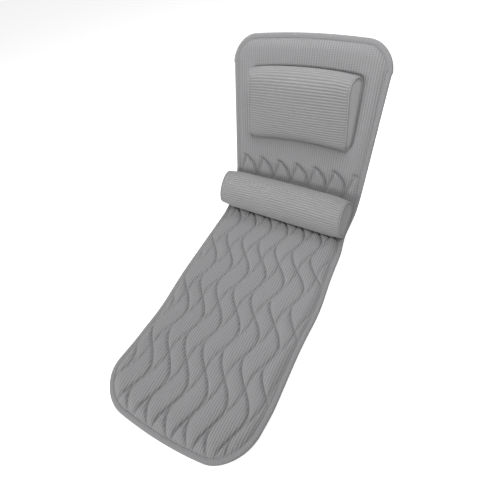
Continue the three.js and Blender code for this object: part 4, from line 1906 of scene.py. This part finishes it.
@dataclass
class HeadPillow(Cushion):
    """Wedge-shaped head pillow, deep at the top and shallow at the foot."""

    begin: float = 0.189
    length: float = 0.199
    bow: float = 0.010
    half_width: float = 0.152
    slant: float = 0.34
    top_depth: float = 0.058
    top_back: float = 0.012
    foot_depth: float = 0.027
    foot_back: float = 0.003
    base: float = 0.0069
    middle_share: float = 0.58
    middle_height: float = 0.4
    foot_round: float = 0.008
    foot_front_round: float = 0.016
    top_front_round: float = 0.030
    top_round: float = 0.015
    corner_in: float = 0.045
    corner_reach: float = 0.040
    head_in: float = 0.030
    head_reach: float = 0.034
    contact_in: float = 0.002
    contact_share: float = 0.75
    contact_rounds: tuple[float, float] = (0.006, 0.014)
    contact_step: float = 0.0025

    def section(self) -> Array:
        """Section along the mat.

        Returns:
            Rows of s and n.
        """
        end = self.begin + self.length
        return rounded([
            ((self.begin, self.base), self.foot_round),
            ((self.begin + self.foot_back, self.base + self.foot_depth), self.foot_front_round),
            ((end - self.top_back, self.base + self.top_depth), self.top_front_round),
            ((end, self.base), self.top_round),
        ])

    def middle(self) -> Array:
        """Middle of the section, nearer to the deep end."""
        along = self.begin + self.length * self.middle_share
        return np.array([along, self.base + self.top_depth * self.middle_height])

    def pivot(self) -> Array:
        """Place toward which the ends draw in."""
        return np.array([self.begin + self.length / 2, self.base])

    def reach(self, b: Array) -> Array:
        """Distance of the end seams from the middle."""
        return self.half_width - self.slant * (np.asarray(b) - self.base)

    def seat(self, x: Array, a: Array, b: Array) -> Array:
        """Places points of the pillow in the frame."""
        return self.fold.place(*self.lie(x, a), b)

    def lie(self, x: Array, a: Array) -> tuple[Array, Array]:
        """Places of points on the flat mat: the pillow bows upward and draws in at its corners.

        Args:
            x: distances across.
            a: distances along, before the bow.

        Returns:
            Distances across and along.
        """
        low = np.clip((self.begin + self.corner_reach - a) / self.corner_reach, 0, 1)
        high = np.clip((a - self.begin - self.length + self.head_reach) / self.head_reach, 0, 1)
        off = 2 * np.clip((a - self.begin) / self.length, 0, 1) - 1
        bowed = a + self.bow * off**2 * (1 - (x / self.half_width) ** 2)
        return x * (1 - self.corner_in * low**2 - self.head_in * high**2), bowed

    def footprint(self) -> Array:
        """Edge of the pillow on the flat mat.

        Returns:
            A closed loop of x and s.
        """
        low = self.begin + self.contact_in
        high = self.begin + self.length - self.top_round * self.contact_share
        wide = self.half_width
        foot, head = self.contact_rounds
        corners = [((-wide, low), foot), ((wide, low), foot), ((wide, high), head), ((-wide, high), head)]
        loop = resampled(rounded(corners), self.contact_step, True)
        return np.stack(self.lie(loop[:, 0], loop[:, 1]), -1)

    def rests(self, a: Array, b: Array) -> Array:
        """Points of the section that lie against the mat."""
        return b < self.base + self.rest_reach


@dataclass
class LumbarRoll(Cushion):
    """Roll across the small of the back, round in front and hollowed to the bend behind."""

    length: float = 0.412
    slant: float = 0.18
    radius: float = 0.0575
    centre: float = 0.035
    skirt: float = 0.0104
    seat_angle: float = 0.39
    bow: float = 0.008
    seat_level: float = 0.0098
    end_allowance: float = 0.0035
    askew: float = 0.045
    front_points: int = 120
    back_points: int = 50
    contact_points: int = 160

    def section(self) -> Array:
        """Section across the roll.

        Returns:
            Rows along and off the fold.
        """
        low = math.asin((self.seat_level + self.skirt - self.centre) / self.radius)
        a = np.linspace(low, math.pi - low, self.front_points)
        front = np.stack([self.radius * np.cos(a), self.centre + self.radius * np.sin(a)], -1)
        radius = self.fold.radius - self.seat_level
        b = np.linspace(-self.seat_angle, self.seat_angle, self.back_points)
        back = np.stack([radius * np.sin(b), self.fold.radius - radius * np.cos(b)], -1)
        return np.vstack([front, back])

    def middle(self) -> Array:
        """Middle of the section."""
        return np.array([0.0, self.centre])

    def pivot(self) -> Array:
        """Place toward which the ends draw in."""
        return np.array([0.0, self.centre])

    def reach(self, b: Array) -> Array:
        """Distance of the end seams from the middle."""
        return self.length / 2 - self.end_allowance - self.slant * (np.asarray(b) - self.seat_level)

    def seat(self, x: Array, a: Array, b: Array) -> Array:
        """Places points of the roll in the frame: sewn on a little askew, its front bowed upward.

        Args:
            x: distances across.
            a: distances along the fold's tangent.
            b: heights off the fold.

        Returns:
            Rows of x, y and z.
        """
        tilt = self.fold.recline / 2
        origin = self.fold.place(0.0, 0.0, 0.0)
        proud = np.clip((b - self.seat_level) / (2 * self.radius), 0, 1)
        a = a + self.bow * proud * (1 - (2 * (x - self.shift) / self.length) ** 2)
        turn = -self.askew * (x - self.shift) / self.fold.radius
        down = self.fold.radius - b
        along = a * np.cos(turn) + down * np.sin(turn)
        off = self.fold.radius - down * np.cos(turn) + a * np.sin(turn)
        y = origin[1] + along * math.cos(tilt) - off * math.sin(tilt)
        z = origin[2] + along * math.sin(tilt) + off * math.cos(tilt)
        return np.stack([x, y, z], -1)

    def rests(self, a: Array, b: Array) -> Array:
        """Points of the section that lie against the mat."""
        behind = self.fold.radius - np.hypot(a, self.fold.radius - b)
        return behind < self.seat_level + self.rest_reach

    def footprint(self) -> Array:
        """Edge of the roll on the flat mat.

        Returns:
            Rows of x and s along its two long sides.
        """
        half, end = self.seat_angle * self.fold.radius, self.length / 2 - self.end_allowance
        x = np.linspace(self.shift - end, self.shift + end, self.contact_points)
        middle = -self.askew * (x - self.shift)
        return np.vstack([np.stack([x, middle - half], -1), np.stack([x, middle + half], -1)])


@dataclass
class Cups:
    """Suction cups under the mat."""

    fold: Fold
    finishes: Finishes
    height: float = 0.012
    radius: float = 0.022
    wall: float = 0.0025
    hollow: float = 0.0038
    hollow_power: float = 2.2
    rim_round: float = 0.0005
    rim_inner: float = 0.0006
    rim_outer: float = 0.0004
    bell_share: float = 0.72
    bell_power: float = 0.55
    bell_start: float = 0.05
    rings: int = 9
    waist: float = 0.007
    flange: float = 0.0105
    flange_steps: tuple[tuple[float, float], ...] = (
        (0.001, 0.0018), (0, 0.0012), (0, 0.0003), (0.0004, 0),
    )
    clearance: float = 0.0003
    under: float = -0.0090
    spread: float = 0.115
    segments: int = 40
    seat_rows: tuple[float, ...] = (-0.170, -0.288, -0.406, -0.524, -0.642)
    back_rows: tuple[float, ...] = (0.150, 0.2695, 0.389)

    def profile(self) -> Array:
        """Half section of a cup as rows of radius and height off the mat's middle layer.

        Returns:
            Points from the middle of the hollow round to the middle of the flange.
        """
        rim = self.under - self.height
        inner = self.radius - self.wall
        seat = self.under - self.clearance
        low = rim + self.rim_round
        f = np.linspace(0, 1, self.rings)
        hollow = np.stack([inner * f, rim + self.hollow * (1 - f**self.hollow_power)], -1)
        lip = [[inner + self.rim_inner, rim], [self.radius - self.rim_outer, rim], [self.radius, low]]
        g = np.linspace(self.bell_start, 1, self.rings)
        narrow = self.radius + (self.waist - self.radius) * g**self.bell_power
        bell = np.stack([narrow, low + (self.height * self.bell_share - self.rim_round) * g], -1)
        collar = [[self.flange - back, seat - down] for back, down in self.flange_steps]
        return np.vstack([hollow, lip, bell, collar, [[0.0, seat]]])

    def cup(self, name: str, x: float, s: float, material: bpy.types.Material) -> bpy.types.Object:
        """Turns one cup.

        Args:
            name: its node's name.
            x: place across the mat.
            s: place along the mat.
            material: its finish.

        Returns:
            The piece.
        """
        profile = self.profile()
        a = np.linspace(0, 2 * math.pi, self.segments, endpoint=False)
        rings = profile[1:-1]
        px = x + rings[:, None, 0] * np.cos(a)[None, :]
        ps = s + rings[:, None, 0] * np.sin(a)[None, :]
        pn = np.repeat(rings[:, None, 1], self.segments, 1)
        ends = self.fold.place(np.full(2, x), np.full(2, s), profile[[0, -1], 1])
        points = np.vstack([self.fold.place(px.ravel(), ps.ravel(), pn.ravel()), ends])
        number = around(np.arange(px.size).reshape(px.shape))
        faces = cells(number).tolist()
        for j in range(self.segments):
            faces.append([px.size, number[0, j + 1], number[0, j]])
            faces.append([px.size + 1, number[-1, j], number[-1, j + 1]])
        return drawn(name.replace("cup", "suction_cup"), points, outward(points, faces), None, material)

    def build(self) -> None:
        """Builds every cup and ties it to its body."""
        material = self.finishes.vinyl.material()
        for body, rows in ((Body.SEAT, self.seat_rows), (Body.BACK, self.back_rows)):
            count = 0
            for i, s in enumerate(rows):
                for x in ((-self.spread, self.spread) if i % 2 == 0 else (0.0,)):
                    count += 1
                    node = f"{body.value}_cup_{count}"
                    piece = self.cup(node, x, s, material)
                    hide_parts(node)
                    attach(piece, body.value)
            LOG.info("%s: %d cups", body.value, count)


@dataclass(frozen=True)
class Lamp:
    """A square soft lamp."""

    name: str
    place: Place
    size: float
    power: float


@dataclass
class Studio:
    """Floor, light and camera."""

    finishes: Finishes
    lens: float = 25.24
    sensor: float = 36.0
    clip: tuple[float, float] = (0.01, 50.0)
    eye: Place = (0.3485, -0.4428, 0.8247)
    turn: Place = (38.297, 8.380, 26.989)
    world_strength: float = 0.17
    aim: Place = (0.0, 0.36, 0.28)
    lamps: tuple[Lamp, ...] = (
        Lamp("high light", (0.28, -0.06, 1.38), 0.8, 9.9),
        Lamp("front light", (-1.1, -2.1, 0.98), 0.7, 33.0),
        Lamp("back light", (-0.15, 0.85, 1.6), 0.8, 8.8),
    )
    floor_reach: float = 6.0
    floor_level: float = -0.0004

    def camera(self) -> None:
        """Sets the camera at the photograph's viewing angle."""
        data = bpy.data.cameras.new("camera")
        data.lens = self.lens
        data.sensor_fit = "HORIZONTAL"
        data.sensor_width = self.sensor
        data.clip_start, data.clip_end = self.clip
        camera = linked("camera", data)
        camera.location = self.eye
        camera.rotation_euler = Euler([math.radians(a) for a in self.turn], "XYZ")
        bpy.context.scene.camera = camera

    def lights(self) -> None:
        """Hangs the soft lamps and sets the world, which is white where it is seen."""
        for lamp in self.lamps:
            data = bpy.data.lights.new(lamp.name, "AREA")
            data.shape = "SQUARE"
            data.size = lamp.size
            data.energy = lamp.power
            hung = linked(lamp.name, data)
            hung.location = lamp.place
            aim = Vector(self.aim) - Vector(lamp.place)
            hung.rotation_euler = aim.to_track_quat("-Z", "Y").to_euler()
        world = bpy.data.worlds.new("studio")
        bpy.context.scene.world = world
        world.use_nodes = True
        nodes = Nodes(world.node_tree)
        strength = nodes.seen() * (1 - self.world_strength) + self.world_strength
        inputs = {"Color": rgba((1, 1, 1)), "Strength": strength}
        light = nodes.node("ShaderNodeBackground", inputs=inputs)
        nodes.add("ShaderNodeOutputWorld", inputs={"Surface": light})

    def ground(self) -> None:
        """Lays the pale floor under the cups."""
        reach, level = self.floor_reach, self.floor_level
        corners = ((-reach, -reach), (reach, -reach), (reach, reach), (-reach, reach))
        points = np.array([(*corner, level) for corner in corners])
        drawn("floor", points, [[0, 1, 2, 3]], None, self.finishes.ground.material())

    def build(self) -> None:
        """Sets up the studio."""
        self.camera()
        self.lights()
        self.ground()
        bpy.context.scene.view_settings.view_transform = "Standard"


def main() -> None:
    """Builds the bath pillow on its frame."""
    logging.basicConfig(level=logging.INFO, format="%(name)s %(message)s")
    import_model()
    fold = Fold()
    finishes = Finishes()
    stitches = StitchLayer()
    cords = CordLayer()
    pillow = HeadPillow(
        fold, finishes, cords, stitches, "pillow", finishes.pillow, finishes.gusset,
        start_share=0.93, pressure=4.0, cap=0.014, rib_height=0.0005, draw_in=0.03,
    )
    roll = LumbarRoll(
        fold, finishes, cords, stitches, "roll", finishes.roll, finishes.roll_end,
        start_share=0.95, pressure=4.0, cap=0.010, rib_height=0.0009, shift=-0.0115,
    )
    pillow.build("pillow_gusset")
    roll.build("roll_end")
    sewn = (pillow.footprint(), roll.footprint())
    Mat(fold, Outline(), Quilting(), finishes, stitches, sewn=sewn).build()
    Cups(fold, finishes).build()
    Studio(finishes).build()


if __name__ == "__main__":
    main()
